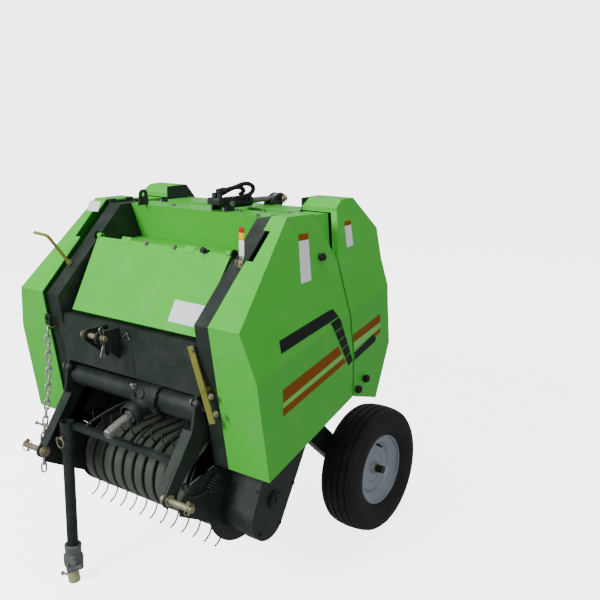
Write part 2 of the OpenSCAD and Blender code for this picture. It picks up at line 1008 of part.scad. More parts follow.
// The line pts moved to its right by d, its ends square
function moved(pts, d) = [
    for (i = [0:len(pts) - 1])
        let (u = unit(pts[min(i + 1, len(pts) - 1)] - pts[min(i, len(pts) - 2)]),
             w = unit(pts[max(i, 1)] - pts[max(i - 1, 0)]))
        i == 0 || i == len(pts) - 1 ? pts[i] - left_of(u) * d
            : meet(pts[i] - left_of(u) * d, u, pts[i] - left_of(w) * d, w)
];

// Folded sheet, t thick on the right of the line pts, as an outline
function folded(pts, t) = let (far = moved(pts, t)) concat([for (i = [len(pts) - 1:-1:0]) pts[i]], far);

module tailgate_skin() {
    color(leaf)
        cut_plate(folded(skin_pts, sheet_t), -half_w + seat, chamber_w - 2 * seat);
}

// Corner of the tailgate guards that is cut off, because it swings over the front guards
gate_corner = [42, 28];

function gate_guard_outline() = concat(
    [gate_back[0] + [gate_corner[0], 1], gate_back[0] - [0, gate_corner[1]], [102, 1300]],
    [for (i = [len(seam) - 2:-1:0]) seam[i] + [guard_gap / 2, 0]],
    [for (i = [len(gate_back) - 1:-1:1]) gate_back[i]]
);

gate_window = [[50, 640], [140, 640], [140, 1297], [50, 1297]];

module gate_guard() {
    shell(gate_guard_outline(), side_out, gate_window);
}

// Sheet box over each hinge, in the wedge between the two guards and deeper than their lips
hinge_cover_line = [[62, 1150], [98, 1294], [2, 1294]];
hinge_cover_deep = 36;

module hinge_covers() {
    inner = inset(hinge_cover_line, guard_t);
    ahead = [-40, -16];
    color(leaf)
        on_both()
            difference() {
                skin_body(hinge_cover_line, hinge_cover_x, hinge_cover_deep);
                skin_body(
                    [inner[0], inner[1], inner[2], inner[2] + ahead, inner[0] + ahead],
                    hinge_cover_x + guard_t, hinge_cover_deep + guard_t
                );
            }
}

module tailgate_guard_right() {
    color(leaf) gate_guard();
}

module tailgate_guard_left() {
    color(leaf) on_left() gate_guard();
}

// Tailgate cylinder on top, with the lever that it pulls

cyl_x = 100;
cyl_front = [-50, 1317];
cyl_eye = [272, 1311];
barrel_l = 150;
bore_from = 26;
rod_from = 125;
eye_play = 6.8;
eye_r = cyl_pin_r + eye_play + 6;
eye_half = 12;
lever_t = 8;

module tailgate_lever() {
    color(frame_grey)
        difference() {
            for (side = [-1, 1])
                translate([cyl_x + side * (eye_half + 1 + lever_t / 2) - lever_t / 2, 0, 0])
                    link_plate(cyl_eye, eye_r + 1, [240, 1290], 30, 0, lever_t);
            cut_plate(concat(moved(skin_pts, sheet_t), [[102, 785]]), cyl_x - 40, 80);
        }
    color(steel)
        cross_bar(cyl_eye, cyl_pin_r, cyl_x - 30, cyl_x + 30);
}

module cylinder_ears() {
    color(frame_grey)
        difference() {
            for (side = [-1, 1])
                translate([cyl_x + side * 32 - 4, cyl_front[0] - 25, box_back[1][1] + sheet_t])
                    cube([8, 50, 50]);
            cross_bar(cyl_front, cyl_pin_r + run, cyl_x - 60, cyl_x + 60);
        }
    color(steel)
        cross_bar(cyl_front, cyl_pin_r, cyl_x - 44, cyl_x + 44);
}

module along_cylinder() {
    v = cyl_eye - cyl_front;
    translate([cyl_x, cyl_front[0], cyl_front[1]])
        rotate([atan2(v[1], v[0]), 0, 0])
            rotate([-90, 0, 0])
                children();
}

module cylinder_barrel() {
    color(frame_grey)
        difference() {
            union() {
                along_cylinder()
                    translate([0, 0, 12])
                        cylinder(r = barrel_r, h = barrel_l - 12);
                cross_bar(cyl_front, 18, cyl_x - 20, cyl_x + 20);
            }
            cross_bar(cyl_front, cyl_pin_r + run, cyl_x - 60, cyl_x + 60);
            along_cylinder()
                translate([0, 0, bore_from])
                    cylinder(r = rod_r + run, h = barrel_l);
        }
}

module cylinder_rod() {
    color(steel)
        difference() {
            union() {
                along_cylinder()
                    translate([0, 0, rod_from])
                        cylinder(r = rod_r, h = norm(cyl_eye - cyl_front) - rod_from);
                cross_bar(cyl_eye, eye_r, cyl_x - eye_half, cyl_x + eye_half);
            }
            cross_bar(cyl_eye, cyl_pin_r + eye_play, cyl_x - 60, cyl_x + 60);
        }
}

// Distance of a guard's outer face from the machine's middle at [y, z]
function crease_z(y) = crease_at[1] + (y - crease_at[0]) * tan(crease_rise);
function skin_x(p) = guard_x - max(0, p[1] - crease_z(p[0])) * tan(guard_lean) * cos(crease_rise);

// On the right guard's outer face at [y, z], with +Z out of the face
module on_skin(p) {
    leaning = p[1] > crease_z(p[0]);
    translate([skin_x(p), p[0], p[1]])
        rotate([leaning ? crease_rise : 0, 0, 0])
            rotate([0, 90 - (leaning ? guard_lean : 0), 0])
                children();
}

knob_r = 14;
knob_h = 20;
guard_knob_at = [-38, 1158];
gate_knobs_at = [[156, 686], [107, 658]];

module knob(p) {
    on_skin(p)
        cylinder(r = knob_r, h = knob_h);
}

module guard_knob_right() {
    color(black) knob(guard_knob_at);
}

module guard_knob_left() {
    color(black) on_left() knob(guard_knob_at);
}

module tailgate_knobs() {
    color(black)
        on_both()
            for (p = gate_knobs_at)
                knob(p);
}

parked() side_plate_left();
parked() side_plate_right();
parked() front_beam();
parked() drive_tubes();
parked() gearbox();
parked() input_shaft();
parked() hitch_arm_left();
parked() hitch_arm_right();
parked() hitch_pins();
parked() top_link_ears();
parked() hitch_crossbar();
parked() stand_sleeve();
parked() stand_leg();
parked() stand_foot();
parked() axle_beam();
parked() axle_arms();
parked() tyre_left();
parked() tyre_right();
parked() rim_left();
parked() rim_right();
parked() rollers_front();
parked() rollers_rear();
parked() twine_box();
parked() front_cover();
parked() guard_left();
parked() guard_right();
parked() pickup_end_left();
parked() pickup_end_right();
parked() stripper_bands();
parked() pickup_reel();
parked() pickup_drive_cover();
parked() wind_guard();
parked() check_chain();
parked() bale_indicator();
parked() twine_handle();
parked() density_bar();
parked() lift_eye();
parked() tailgate_side_left();
parked() tailgate_side_right();
parked() tailgate_hinges();
parked() hinge_covers();
parked() chain_stays();
parked() tailgate_skin();
parked() tailgate_guard_left();
parked() tailgate_guard_right();
parked() tailgate_lever();
parked() cylinder_ears();
parked() cylinder_barrel();
parked() cylinder_rod();
parked() guard_knob_left();
parked() guard_knob_right();
parked() tailgate_knobs();
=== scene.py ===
from math import cos, pi, radians, sin, tan

import bmesh
import bpy
from mathutils import Matrix, Vector


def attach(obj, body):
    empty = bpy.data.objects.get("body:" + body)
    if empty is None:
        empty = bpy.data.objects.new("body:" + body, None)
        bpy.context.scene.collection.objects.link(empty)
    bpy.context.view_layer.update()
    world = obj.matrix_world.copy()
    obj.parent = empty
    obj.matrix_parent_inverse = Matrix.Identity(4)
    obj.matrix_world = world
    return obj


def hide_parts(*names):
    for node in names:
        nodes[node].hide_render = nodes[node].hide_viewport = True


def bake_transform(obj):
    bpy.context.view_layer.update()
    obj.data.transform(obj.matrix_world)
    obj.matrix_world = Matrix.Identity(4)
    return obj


# A small round baler for a compact tractor, in green and dark grey paint, parked nose up on its
# two tyres and its front stand.
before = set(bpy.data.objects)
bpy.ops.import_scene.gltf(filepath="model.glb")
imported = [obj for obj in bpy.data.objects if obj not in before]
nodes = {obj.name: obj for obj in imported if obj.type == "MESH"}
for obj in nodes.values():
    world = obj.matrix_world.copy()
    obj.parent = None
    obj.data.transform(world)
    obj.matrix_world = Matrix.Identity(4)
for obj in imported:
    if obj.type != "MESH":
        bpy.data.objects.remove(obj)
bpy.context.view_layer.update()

# The way the machine stands. Pieces are built level, in metres: +X to the right as the tractor
# sees it, -Y to the tractor, the tyres on z = 0. PARK then tips them nose up about the axle.
RIGHT, FORWARD, BACK, UP = (1, 0, 0), (0, -1, 0), (0, 1, 0), (0, 0, 1)
shift = Matrix.Translation
AXLE_Y, AXLE_Z = 0.344, 0.25
NOSE_UP = radians(7.8)
MID_SHIFT = -0.009496
PARK = (
    shift((0, MID_SHIFT + AXLE_Y, AXLE_Z)) @ Matrix.Rotation(-NOSE_UP, 4, "X")
    @ shift((0, -AXLE_Y, -AXLE_Z))
)

# Camera at the photograph's place: in front of the machine's right corner and a little above it.
# Its focal length and the middle of its picture are in the photograph's pixels.
YAW, PITCH, ROLL = radians(36.4), radians(10.7), radians(0.4)
PICTURE_W, FOCAL, MIDDLE_X, MIDDLE_Y = 600, 829.1, -13.9, -32.0
SENSOR_W = 36
CAMERA_AT = (2.194, -2.318, 1.6532)
camera_data = bpy.data.cameras.new("photo_camera")
camera_data.sensor_width = SENSOR_W
camera_data.lens = FOCAL / PICTURE_W * SENSOR_W
camera_data.shift_x = MIDDLE_X / PICTURE_W
camera_data.shift_y = MIDDLE_Y / PICTURE_W
camera_data.dof.use_dof = False
camera = bpy.data.objects.new("photo_camera", camera_data)
camera.matrix_world = (
    PARK @ shift(CAMERA_AT) @ Matrix.Rotation(YAW, 4, "Z")
    @ Matrix.Rotation(pi / 2 - PITCH, 4, "X") @ Matrix.Rotation(ROLL, 4, "Z")
)
scene = bpy.context.scene
scene.collection.objects.link(camera)
scene.camera = camera


# Studio: a pale floor that bends up all round, a pale sky, and three soft panels of light. The
# two classes write its materials, and those of every piece of the machine.
class Wire:
    """One socket of a material; an expression on it adds the Math nodes it needs."""

    def __init__(self, tree, socket):
        self.tree = tree
        self.socket = socket

    def math(self, operation, *others, clamp=False):
        node = self.tree.nodes.new("ShaderNodeMath")
        node.operation = operation
        node.use_clamp = clamp
        for port, value in zip(node.inputs, (self, *others)):
            if isinstance(value, Wire):
                self.tree.links.new(value.socket, port)
            else:
                port.default_value = value
        return Wire(self.tree, node.outputs[0])

    def __add__(self, other):
        return self.math("ADD", other)

    def __mul__(self, other):
        return self.math("MULTIPLY", other)

    def __sub__(self, other):
        return self.math("SUBTRACT", other)

    def __rsub__(self, other):
        return (self * -1) + other

    __radd__ = __add__
    __rmul__ = __mul__

    def over(self, edge, soft):
        """0 below the edge, 1 above it, with a soft step between."""
        return ((self - edge) * (1 / soft)).math("ADD", 0.5, clamp=True)


class Finish:
    """One material: its shader's own values, and the nodes that vary them over the surface."""

    def __init__(self, name, color, rough, metal=0.0, coat=0.0, shine=0.5, slot=None):
        self.slot = slot
        self.material = bpy.data.materials.new(name)
        self.material.use_nodes = True
        self.tree = self.material.node_tree
        self.shader = self.tree.nodes["Principled BSDF"]
        own = self.shader.inputs
        own["Base Color"].default_value = (*color, 1)
        own["Roughness"].default_value = rough
        own["Metallic"].default_value = metal
        own["Coat Weight"].default_value = coat
        own["Coat Roughness"].default_value = 0.1
        own["Specular IOR Level"].default_value = shine
        self.place = self.node("ShaderNodeTexCoord", out="Object")

    def node(self, kind, settings=None, ports=None, out=0):
        made = self.tree.nodes.new(kind)
        for key, value in (settings or {}).items():
            setattr(made, key, value)
        for key, value in (ports or {}).items():
            self.plug(made.inputs[key], value)
        return Wire(self.tree, made.outputs[out])

    def plug(self, port, value):
        if isinstance(value, Wire):
            self.tree.links.new(value.socket, port)
        else:
            port.default_value = (*value, 1) if port.type == "RGBA" else value

    def noise(self, scale, detail=3.0):
        ports = {"Vector": self.place, "Scale": scale, "Detail": detail, "Roughness": 0.55}
        return self.node("ShaderNodeTexNoise", ports=ports)

    def mix(self, share, low, high):
        ports = {0: share, 6: low, 7: high}
        return self.node("ShaderNodeMix", {"data_type": "RGBA"}, ports, out=2)

    def feed(self, **ports):
        for key, value in ports.items():
            self.plug(self.shader.inputs[key.replace("_", " ")], value)

    def bump(self, height, distance, strength):
        ports = {"Height": height, "Distance": distance, "Strength": strength}
        self.feed(Normal=self.node("ShaderNodeBump", ports=ports))

    def clouded(self, scale, detail, low, high, rough_gain, rough_low):
        """Vary the colour between low and high in soft clouds, and the roughness with it."""
        cloud = self.noise(scale, detail)
        self.feed(Base_Color=self.mix(cloud, low, high), Roughness=cloud * rough_gain + rough_low)


def spun(section, steps=96, axis=RIGHT, angle=2 * pi, closed=True):
    """Sweep a section of (x, z) points round an axis through the origin."""
    mesh = bmesh.new()
    verts = [mesh.verts.new((x, 0, z)) for x, z in section]
    ends = verts[1:] + verts[:1] if closed else verts[1:]
    edges = [mesh.edges.new(pair) for pair in zip(verts, ends)]
    bmesh.ops.spin(
        mesh, geom=verts + edges, cent=(0, 0, 0), axis=axis, angle=angle, steps=steps,
        use_merge=angle == 2 * pi,
    )
    return mesh


def shown(name, mesh, finish, crisp=32):
    """Put a mesh in the scene, smooth but for the edges that turn by more than crisp degrees."""
    bmesh.ops.recalc_face_normals(mesh, faces=mesh.faces)
    for face in mesh.faces:
        face.smooth = True
    for edge in mesh.edges:
        edge.smooth = edge.is_manifold and edge.calc_face_angle() < radians(crisp)
    data = bpy.data.meshes.new(name)
    mesh.to_mesh(data)
    mesh.free()
    data.materials.append(finish.material)
    made = bpy.data.objects.new(name, data)
    scene.collection.objects.link(made)
    return made


FLAT_R, BEND_R, BEND_STEPS = 7.0, 6.0, 12
floor_finish = Finish("studio_floor", (0.93, 0.93, 0.92), 0.9)
floor_finish.feed(
    Base_Color=floor_finish.mix(floor_finish.noise(1.2), (0.92, 0.92, 0.91), (0.95, 0.95, 0.94))
)
floor_finish.shader.inputs["Emission Strength"].default_value = 3.6
turns = [step / BEND_STEPS * pi / 2 for step in range(BEND_STEPS + 1)]
bend = [(FLAT_R + BEND_R * sin(turn), BEND_R * (1 - cos(turn))) for turn in turns]
floor = shown("floor", spun([(0, 0), *bend], 64, UP, closed=False), floor_finish)
floor.visible_diffuse = False
floor.visible_glossy = False

world = bpy.data.worlds.new("studio")
world.use_nodes = True
world.node_tree.nodes["Background"].inputs["Color"].default_value = (0.95, 0.97, 1.0, 1)
world.node_tree.nodes["Background"].inputs["Strength"].default_value = 0.52
scene.world = world

PANELS = (  # name, place, height that it is aimed at, size, power in watts
    ("key", (-1.0, -4.4, 4.2), 0.7, 1.8, 430),
    ("fill", (4.2, -1.6, 2.4), 0.7, 3.0, 52),
    ("top", (0.0, 0.4, 4.8), 0.8, 3.4, 120),
)
for name, at, aim_z, size, power in PANELS:
    panel = bpy.data.lights.new(name, "AREA")
    panel.shape = "RECTANGLE"
    panel.size = panel.size_y = size
    panel.energy = power
    lamp = bpy.data.objects.new(name, panel)
    lamp.location = at
    aim = Vector((0, 0, aim_z)) - Vector(at)
    lamp.rotation_euler = aim.to_track_quat("-Z", "Y").to_euler()
    scene.collection.objects.link(lamp)


# Green sheet metal: the guards, the cover, the twine box and the tailgate's skin. Gloss enamel
# that is a little uneven, with a thin film of dust in patches.
def dress(finish, *names):
    for name in names:
        nodes[name].data.materials.clear()
        nodes[name].data.materials.append(finish.material)


green = Finish("green_enamel", (0.03, 0.4, 0.02), 0.42, shine=0.2, slot="green_paint")
enamel = green.mix(green.noise(3.0), (0.046, 0.365, 0.028), (0.06, 0.415, 0.038))
dusty = green.noise(9.0, detail=6.0).over(0.62, 0.25) * 0.22
green.feed(
    Base_Color=green.mix(dusty, enamel, (0.14, 0.38, 0.1)),
    Roughness=green.noise(55.0, detail=2.0) * 0.1 + dusty * 0.5 + 0.26,
)
green.bump(green.noise(420.0, detail=1.0), 0.0002, 0.25)
dress(
    green, "front_cover", "twine_box", "guard_left", "guard_right", "tailgate_guard_left",
    "tailgate_guard_right", "tailgate_skin", "hinge_covers",
)

# Dark grey paint on the welded frame, the gearbox and the pickup's plates: satin, a little cloudy
# and dusted by use.
grey = Finish("frame_paint", (0.02, 0.03, 0.027), 0.42, shine=0.26, slot="grey_paint")
grey_cloud = grey.noise(6.0, detail=4.0)
grey_dust = grey.noise(14.0, detail=6.0).over(0.6, 0.3) * 0.35
satin = grey.mix(grey_cloud, (0.007, 0.012, 0.009), (0.015, 0.023, 0.018))
grey.feed(
    Base_Color=grey.mix(grey_dust, satin, (0.042, 0.048, 0.038)),
    Roughness=grey_cloud * 0.2 + grey_dust * 0.5 + 0.34,
)
grey.bump(grey.noise(260.0, detail=2.0), 0.0004, 0.3)
dress(
    grey, "side_plate_left", "side_plate_right", "front_beam", "drive_tubes", "gearbox",
    "hitch_arm_left", "hitch_arm_right", "top_link_ears", "hitch_crossbar", "stand_sleeve",
    "stand_leg", "axle_beam", "axle_arms", "pickup_end_left", "pickup_end_right",
    "stripper_bands", "pickup_drive_cover", "lift_eye", "tailgate_side_left",
    "tailgate_side_right", "tailgate_hinges", "tailgate_lever", "cylinder_ears",
    "cylinder_barrel", "wind_guard", "pickup_reel",
)

# Plated steel: yellow zinc on the pins and the chain's stays, olive zinc on the density bar and
# the twine handle.
zinc = Finish("yellow_zinc", (0.28, 0.26, 0.15), 0.36, metal=0.75, shine=0.3, slot="zinc_plate")
zinc.clouded(35.0, 4.0, (0.19, 0.17, 0.1), (0.42, 0.38, 0.25), 0.3, 0.25)
dress(zinc, "hitch_pins", "chain_stays")
olive = Finish("olive_zinc", (0.16, 0.17, 0.03), 0.42, metal=0.25, shine=0.25)
olive.clouded(28.0, 4.0, (0.12, 0.13, 0.018), (0.22, 0.22, 0.045), 0.25, 0.3)
dress(olive, "density_bar", "twine_handle")

# Bare steel: the rollers, the input shaft and the cylinder's rod, and the plain bolts and nuts.
steel = Finish("bare_steel", (0.42, 0.42, 0.41), 0.36, metal=0.9, slot="bare_steel")
steel.clouded(40.0, 5.0, (0.13, 0.13, 0.12), (0.31, 0.31, 0.3), 0.35, 0.22)
dress(
    steel, "input_shaft", "check_chain", "cylinder_rod", "rollers_front", "rollers_rear",
    "stand_foot", "bale_indicator",
)

# Rubber of the tyres, the knobs and the hoses: black, with a grey bloom of dust in its surface.
rubber = Finish("tyre_rubber", (0.012, 0.012, 0.013), 0.72, shine=0.2, slot="knob_rubber")
rubber_cloud = rubber.noise(12.0, detail=6.0)
bloom = rubber_cloud.over(0.55, 0.4) * 0.5
rubber.feed(
    Base_Color=rubber.mix(bloom, (0.007, 0.007, 0.008), (0.028, 0.027, 0.025)),
    Roughness=rubber_cloud * 0.25 + 0.55,
)
rubber.bump(rubber.noise(180.0, detail=3.0), 0.0006, 0.5)
dress(rubber, "tyre_left", "tyre_right", "guard_knob_left", "guard_knob_right", "tailgate_knobs")

# Stripes on the side guards: thin coloured films, the same on both sides. Outlines are (y, z). The
# guards stand upright below a slanting crease and lean inwards above it, and a film that crosses
# it is folded over it.
SKIN_X, GUARD_LEAN = 0.602, radians(15.6)
CREASE_Y, CREASE_Z, CREASE_RISE = -0.449, 0.822, radians(14.1)
LEAN = tan(GUARD_LEAN) * cos(CREASE_RISE)
FILM_LIFT, FILM_T = 0.0004, 0.0005


def over_crease(y, z):
    """How far a point on a guard's side lies above the crease."""
    return z - CREASE_Z - (y - CREASE_Y) * tan(CREASE_RISE)


def skin_x(y, z):
    return SKIN_X - max(0.0, over_crease(y, z)) * LEAN


def piece(name, mesh, finish, body="chassis", crisp=32):
    """Set a mesh in the parked machine and attach it to its body."""
    mesh.transform(PARK)
    made = shown(name, mesh, finish, crisp)
    if body:
        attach(made, body)
    return made


def merge(mesh, part, by=Matrix()):
    """Move what is in part into mesh, placed by a matrix."""
    part.transform(by)
    data = bpy.data.meshes.new("part")
    part.to_mesh(data)
    part.free()
    mesh.from_mesh(data)
    bpy.data.meshes.remove(data)


def film(mesh, sign, outline):
    part = bmesh.new()
    part.faces.new([part.verts.new((0, y, z)) for y, z in outline])
    bmesh.ops.bisect_plane(
        part, geom=part.verts[:] + part.edges[:] + part.faces[:],
        plane_co=(0, CREASE_Y, CREASE_Z), plane_no=(0, -sin(CREASE_RISE), cos(CREASE_RISE)),
    )
    for vert in part.verts:
        vert.co.x = sign * (skin_x(vert.co.y, vert.co.z) + FILM_LIFT)
    bmesh.ops.solidify(part, geom=part.faces[:], thickness=FILM_T)
    merge(mesh, part)


def between(a, b, share):
    return tuple(p + (q - p) * share for p, q in zip(a, b))


def leg_blocks(upper, lower, count, gap):
    """Cut the strip between two edges, each (front end, rear end), into blocks with thin gaps."""
    for i in range(count):
        start, stop = (i + gap * (i > 0)) / count, (i + 1) / count
        yield [between(upper[0], lower[0], start), between(upper[1], lower[1], start),
               between(upper[1], lower[1], stop), between(upper[0], lower[0], stop)]


BLACK_BAND = [
    (-0.317, 0.929), (-0.055, 0.978), (-0.028, 0.981), (-0.006, 0.951), (-0.045, 0.943),
    (-0.319, 0.889),
]
LEG_TOP, LEG_LOW = ((-0.055, 0.936), (-0.004, 0.948)), ((0.053, 0.76), (0.081, 0.772))
FILMS = {
    "front": {
        "black": [BLACK_BAND, *leg_blocks(LEG_TOP, LEG_LOW, 5, 0.1)],
        "brown": [
            [(-0.322, 0.77), (-0.011, 0.846), (0.01, 0.813), (-0.321, 0.726)],
            [(-0.321, 0.707), (0.022, 0.795), (0.038, 0.776), (-0.321, 0.68)],
        ],
        "light": [[(-0.321, 0.725), (0.01, 0.812), (0.022, 0.796), (-0.321, 0.708)]],
    },
    "tailgate": {
        "black": [[(0.092, 0.799), (0.213, 0.84), (0.235, 0.824), (0.229, 0.81), (0.093, 0.77)]],
        "brown": [
            [(0.08, 0.8665), (0.261, 0.91), (0.263, 0.878), (0.085, 0.8385)],
            [(0.208, 0.841), (0.264, 0.854), (0.264, 0.838), (0.234, 0.829)],
        ],
        "light": [[(0.085, 0.8375), (0.263, 0.877), (0.264, 0.855), (0.089, 0.8115)]],
    },
}
FILM_FINISH = {
    "black": Finish("black_film", (0.005, 0.009, 0.006), 0.42, shine=0.15),
    "brown": Finish("brown_film", (0.19, 0.058, 0.003), 0.42, shine=0.08),
    "light": Finish("light_green_film", (0.14, 0.5, 0.09), 0.42, shine=0.2),
    "white": Finish("plate_white", (0.62, 0.64, 0.66), 0.38),
}
for paint in FILM_FINISH.values():
    paint.feed(Roughness=paint.noise(30.0) * 0.18 + 0.32)
SIDES = {"right": 1, "left": -1}
for side, sign in SIDES.items():
    for where, films in FILMS.items():
        rides = f"guard_{side}" if where == "front" else "tailgate"
        for colour, outlines in films.items():
            mesh = bmesh.new()
            for outline in outlines:
                film(mesh, sign, outline)
            piece(f"stripe_{colour}_{where}_{side}", mesh, FILM_FINISH[colour], rides)

# Blank plates with a brown head: one on each front guard and one on each tailgate guard, stuck on
# as the stripes are.
PLATES = {  # the head's share of the height, then the upper two corners and the lower two
    "guard": (0.13, [(-0.124, 1.245), (-0.073, 1.245), (-0.107, 1.091), (-0.16, 1.086)]),
    "tailgate": (0.17, [(0.131, 1.264), (0.169, 1.266), (0.154, 1.178), (0.117, 1.173)]),
}
HEAD_GAP = 0.01
for side, sign in SIDES.items():
    for where, (share, (top_a, top_b, low_b, low_a)) in PLATES.items():
        rides = f"guard_{side}" if where == "guard" else "tailgate"
        head_a, head_b = between(top_a, low_a, share), between(top_b, low_b, share)
        field_a, field_b = between(head_a, low_a, HEAD_GAP), between(head_b, low_b, HEAD_GAP)
        for label, outline, colour in (
            ("head", [top_a, top_b, head_b, head_a], "brown"),
            ("field", [field_a, field_b, low_b, low_a], "white"),
        ):
            mesh = bmesh.new()
            film(mesh, sign, outline)
            piece(f"plate_{label}_{where}_{side}", mesh, FILM_FINISH[colour], rides)


# Bolts of the frame: a washer, a hexagonal head and the thread's end, in bare steel. They hold the
# hitch arms to the frame and the twine box to the top flange.
def facing(out):
    """The turn from upright to a direction."""
    return Vector(out).to_track_quat("Z", "Y").to_matrix().to_4x4()


def post(mesh, at, out, radius, height, sides=24, tip=None):
    """A round or many-sided post that stands on `at` and points along `out`."""
    out = Vector(out).normalized()
    bmesh.ops.create_cone(
        mesh, cap_ends=True, segments=sides, radius1=radius,
        radius2=radius if tip is None else tip, depth=height,
        matrix=shift(Vector(at) + out * height / 2) @ facing(out),
    )


def bolt(mesh, at, out, size):
    """A washer, a hexagonal head and the thread's end, for a thread of this size."""
    out = Vector(out).normalized()
    at = Vector(at)
    post(mesh, at, out, size * 1.1, size * 0.16)
    post(mesh, at + out * size * 0.16, out, size * 0.92, size * 0.7, sides=6)
    post(mesh, at + out * size * 0.86, out, size * 0.5, size * 0.22)


def bolts(name, spots, out, size, finish, body="chassis"):
    """A piece of like bolts, one on each spot."""
    mesh = bmesh.new()
    for at in spots:
        bolt(mesh, at, out, size)
    piece(name, mesh, finish, body)


def posts(name, finish, rows, body="chassis"):
    """A piece of posts, each from a row of what post takes after its mesh."""
    mesh = bmesh.new()
    for row in rows:
        post(mesh, *row)
    return piece(name, mesh, finish, body)


ARM_FACE, ARM_T = 0.3275, 0.01
ARM_BOLTS = [(-0.453, 0.705), (-0.414, 0.675), (-0.384, 0.62), (-0.503, 0.425)]  # y, z
mesh = bmesh.new()
for y, z in ARM_BOLTS:
    for sign in SIDES.values():
        bolt(mesh, (-sign * ARM_FACE, y, z), (sign, 0, 0), 0.012)
        bolt(mesh, (-sign * (ARM_FACE + ARM_T), y, z), (-sign, 0, 0), 0.012)
piece("arm_bolts", mesh, steel)

TOP_Z = 1.289
TOP_BOLTS = ((-0.287, 0.003), (0.182, -0.047), (0.308, -0.095), (-0.15, -0.06), (0.25, 0.005))
bolts("top_flange_bolts", [(x, y, TOP_Z) for x, y in TOP_BOLTS], UP, 0.008, steel)

# Gearbox: a cast case round the cross tube and a neck with an open collar round the input shaft,
# spun from (distance along the axis, radius), with two bosses and an oil plug on its front and a
# ring of bolts on the flange at its right.
TUBE_Y, TUBE_Z, GEAR_X = -0.405, 0.665, 0.075
INPUT_DROP = radians(20)
CASE = [
    (-0.066, 0.0384), (-0.064, 0.044), (-0.05, 0.0485), (-0.035, 0.056), (0.01, 0.059),
    (0.036, 0.058), (0.046, 0.06), (0.062, 0.06), (0.062, 0.03), (-0.066, 0.03),
]
NECK = [
    (0, 0.047), (0.045, 0.042), (0.062, 0.0375), (0.072, 0.037), (0.08, 0.04),
    (0.086, 0.0425), (0.111, 0.043), (0.113, 0.042), (0.113, 0.0375), (0.111, 0.0365),
    (0.09, 0.0355), (0.088, 0.0232), (0, 0.0232),
]
FLANGE_X, FLANGE_RING, FLANGE_BOLTS = 0.151, 0.054, 8
input_way = Vector((0, -cos(INPUT_DROP), -sin(INPUT_DROP)))
input_root = Vector((GEAR_X, TUBE_Y, TUBE_Z - 0.012))
side_way = Vector(RIGHT)
rise_way = side_way.cross(input_way)


def at_tube(x):
    return Vector((x, TUBE_Y, TUBE_Z))


mesh = spun(CASE, steps=64)
mesh.transform(shift(at_tube(GEAR_X)))
part = spun(NECK, steps=64)
neck_way = Matrix((input_way, side_way, rise_way)).transposed().to_4x4()
merge(mesh, part, shift(input_root) @ neck_way)
boss_way = Vector((0, -0.94, 0.34))
post(mesh, at_tube(0.082) + boss_way * 0.04, boss_way, 0.02, 0.024, sides=32, tip=0.017)
boss_way = Vector((0, -0.9, 0.1)).normalized()
post(mesh, at_tube(0.048) + boss_way * 0.04, boss_way, 0.015, 0.026, tip=0.013)
case = piece("gearbox_case", mesh, grey, crisp=40)
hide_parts("gearbox")
plug_way = Vector((0, -0.8, 0.6))
plug_at = at_tube(0.04) + plug_way * 0.055
posts("gearbox_plug", steel, (
    (plug_at, plug_way, 0.011, 0.006, 6),
    (plug_at + plug_way * 0.006, plug_way, 0.0065, 0.012),
    (plug_at + plug_way * 0.018, plug_way, 0.008, 0.005, 24, 0.005),
))
turns = [(i + 0.5) / FLANGE_BOLTS * 2 * pi for i in range(FLANGE_BOLTS)]
ring_of_bolts = [at_tube(FLANGE_X) + Vector((0, cos(t), sin(t))) * FLANGE_RING for t in turns]
bolts("gearbox_flange_bolts", ring_of_bolts, RIGHT, 0.006, grey)

# Power input shaft: a steel shaft with a plain journal, six splines and a chamfered end. The
# splined outline is drawn out along the shaft, then in to its end.
SHAFT_R, ROOT_R, SHAFT_L, CHAMFER, END_SHARE = 0.0175, 0.015, 0.108, 0.004, 0.86
JOURNAL_R, NOSE_L, SPLINES = 0.0225, 0.11, 6
SPLINE = ((0.05, ROOT_R), (0.25, ROOT_R), (0.3, SHAFT_R), (0.65, SHAFT_R), (1.0, SHAFT_R))


def drawn_out(mesh, faces, keep=False):
    """Extrude faces, and give the new end's faces and corners."""
    made = bmesh.ops.extrude_face_region(mesh, geom=faces, use_keep_orig=keep)["geom"]
    kinds = (bmesh.types.BMFace, bmesh.types.BMVert)
    return [[item for item in made if isinstance(item, kind)] for kind in kinds]


mesh = bmesh.new()
post(mesh, input_root + input_way * 0.05, input_way, JOURNAL_R, 0.06, sides=48)
outline = []
for i in range(SPLINES):
    for share, radius in SPLINE:
        turn = (i + share * 0.95) / SPLINES * 2 * pi
        spoke = side_way * cos(turn) + rise_way * sin(turn)
        outline.append(mesh.verts.new(input_root + input_way * NOSE_L + spoke * radius))
end, corners = drawn_out(mesh, [mesh.faces.new(outline)], keep=True)
bmesh.ops.translate(mesh, verts=corners, vec=input_way * (SHAFT_L - CHAMFER))
end, corners = drawn_out(mesh, end)
tip_at = input_root + input_way * (NOSE_L + SHAFT_L)
for vert in corners:
    vert.co = tip_at + (vert.co + input_way * CHAMFER - tip_at) * END_SHARE
shaft = piece("splined_input_shaft", mesh, steel)
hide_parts("input_shaft")


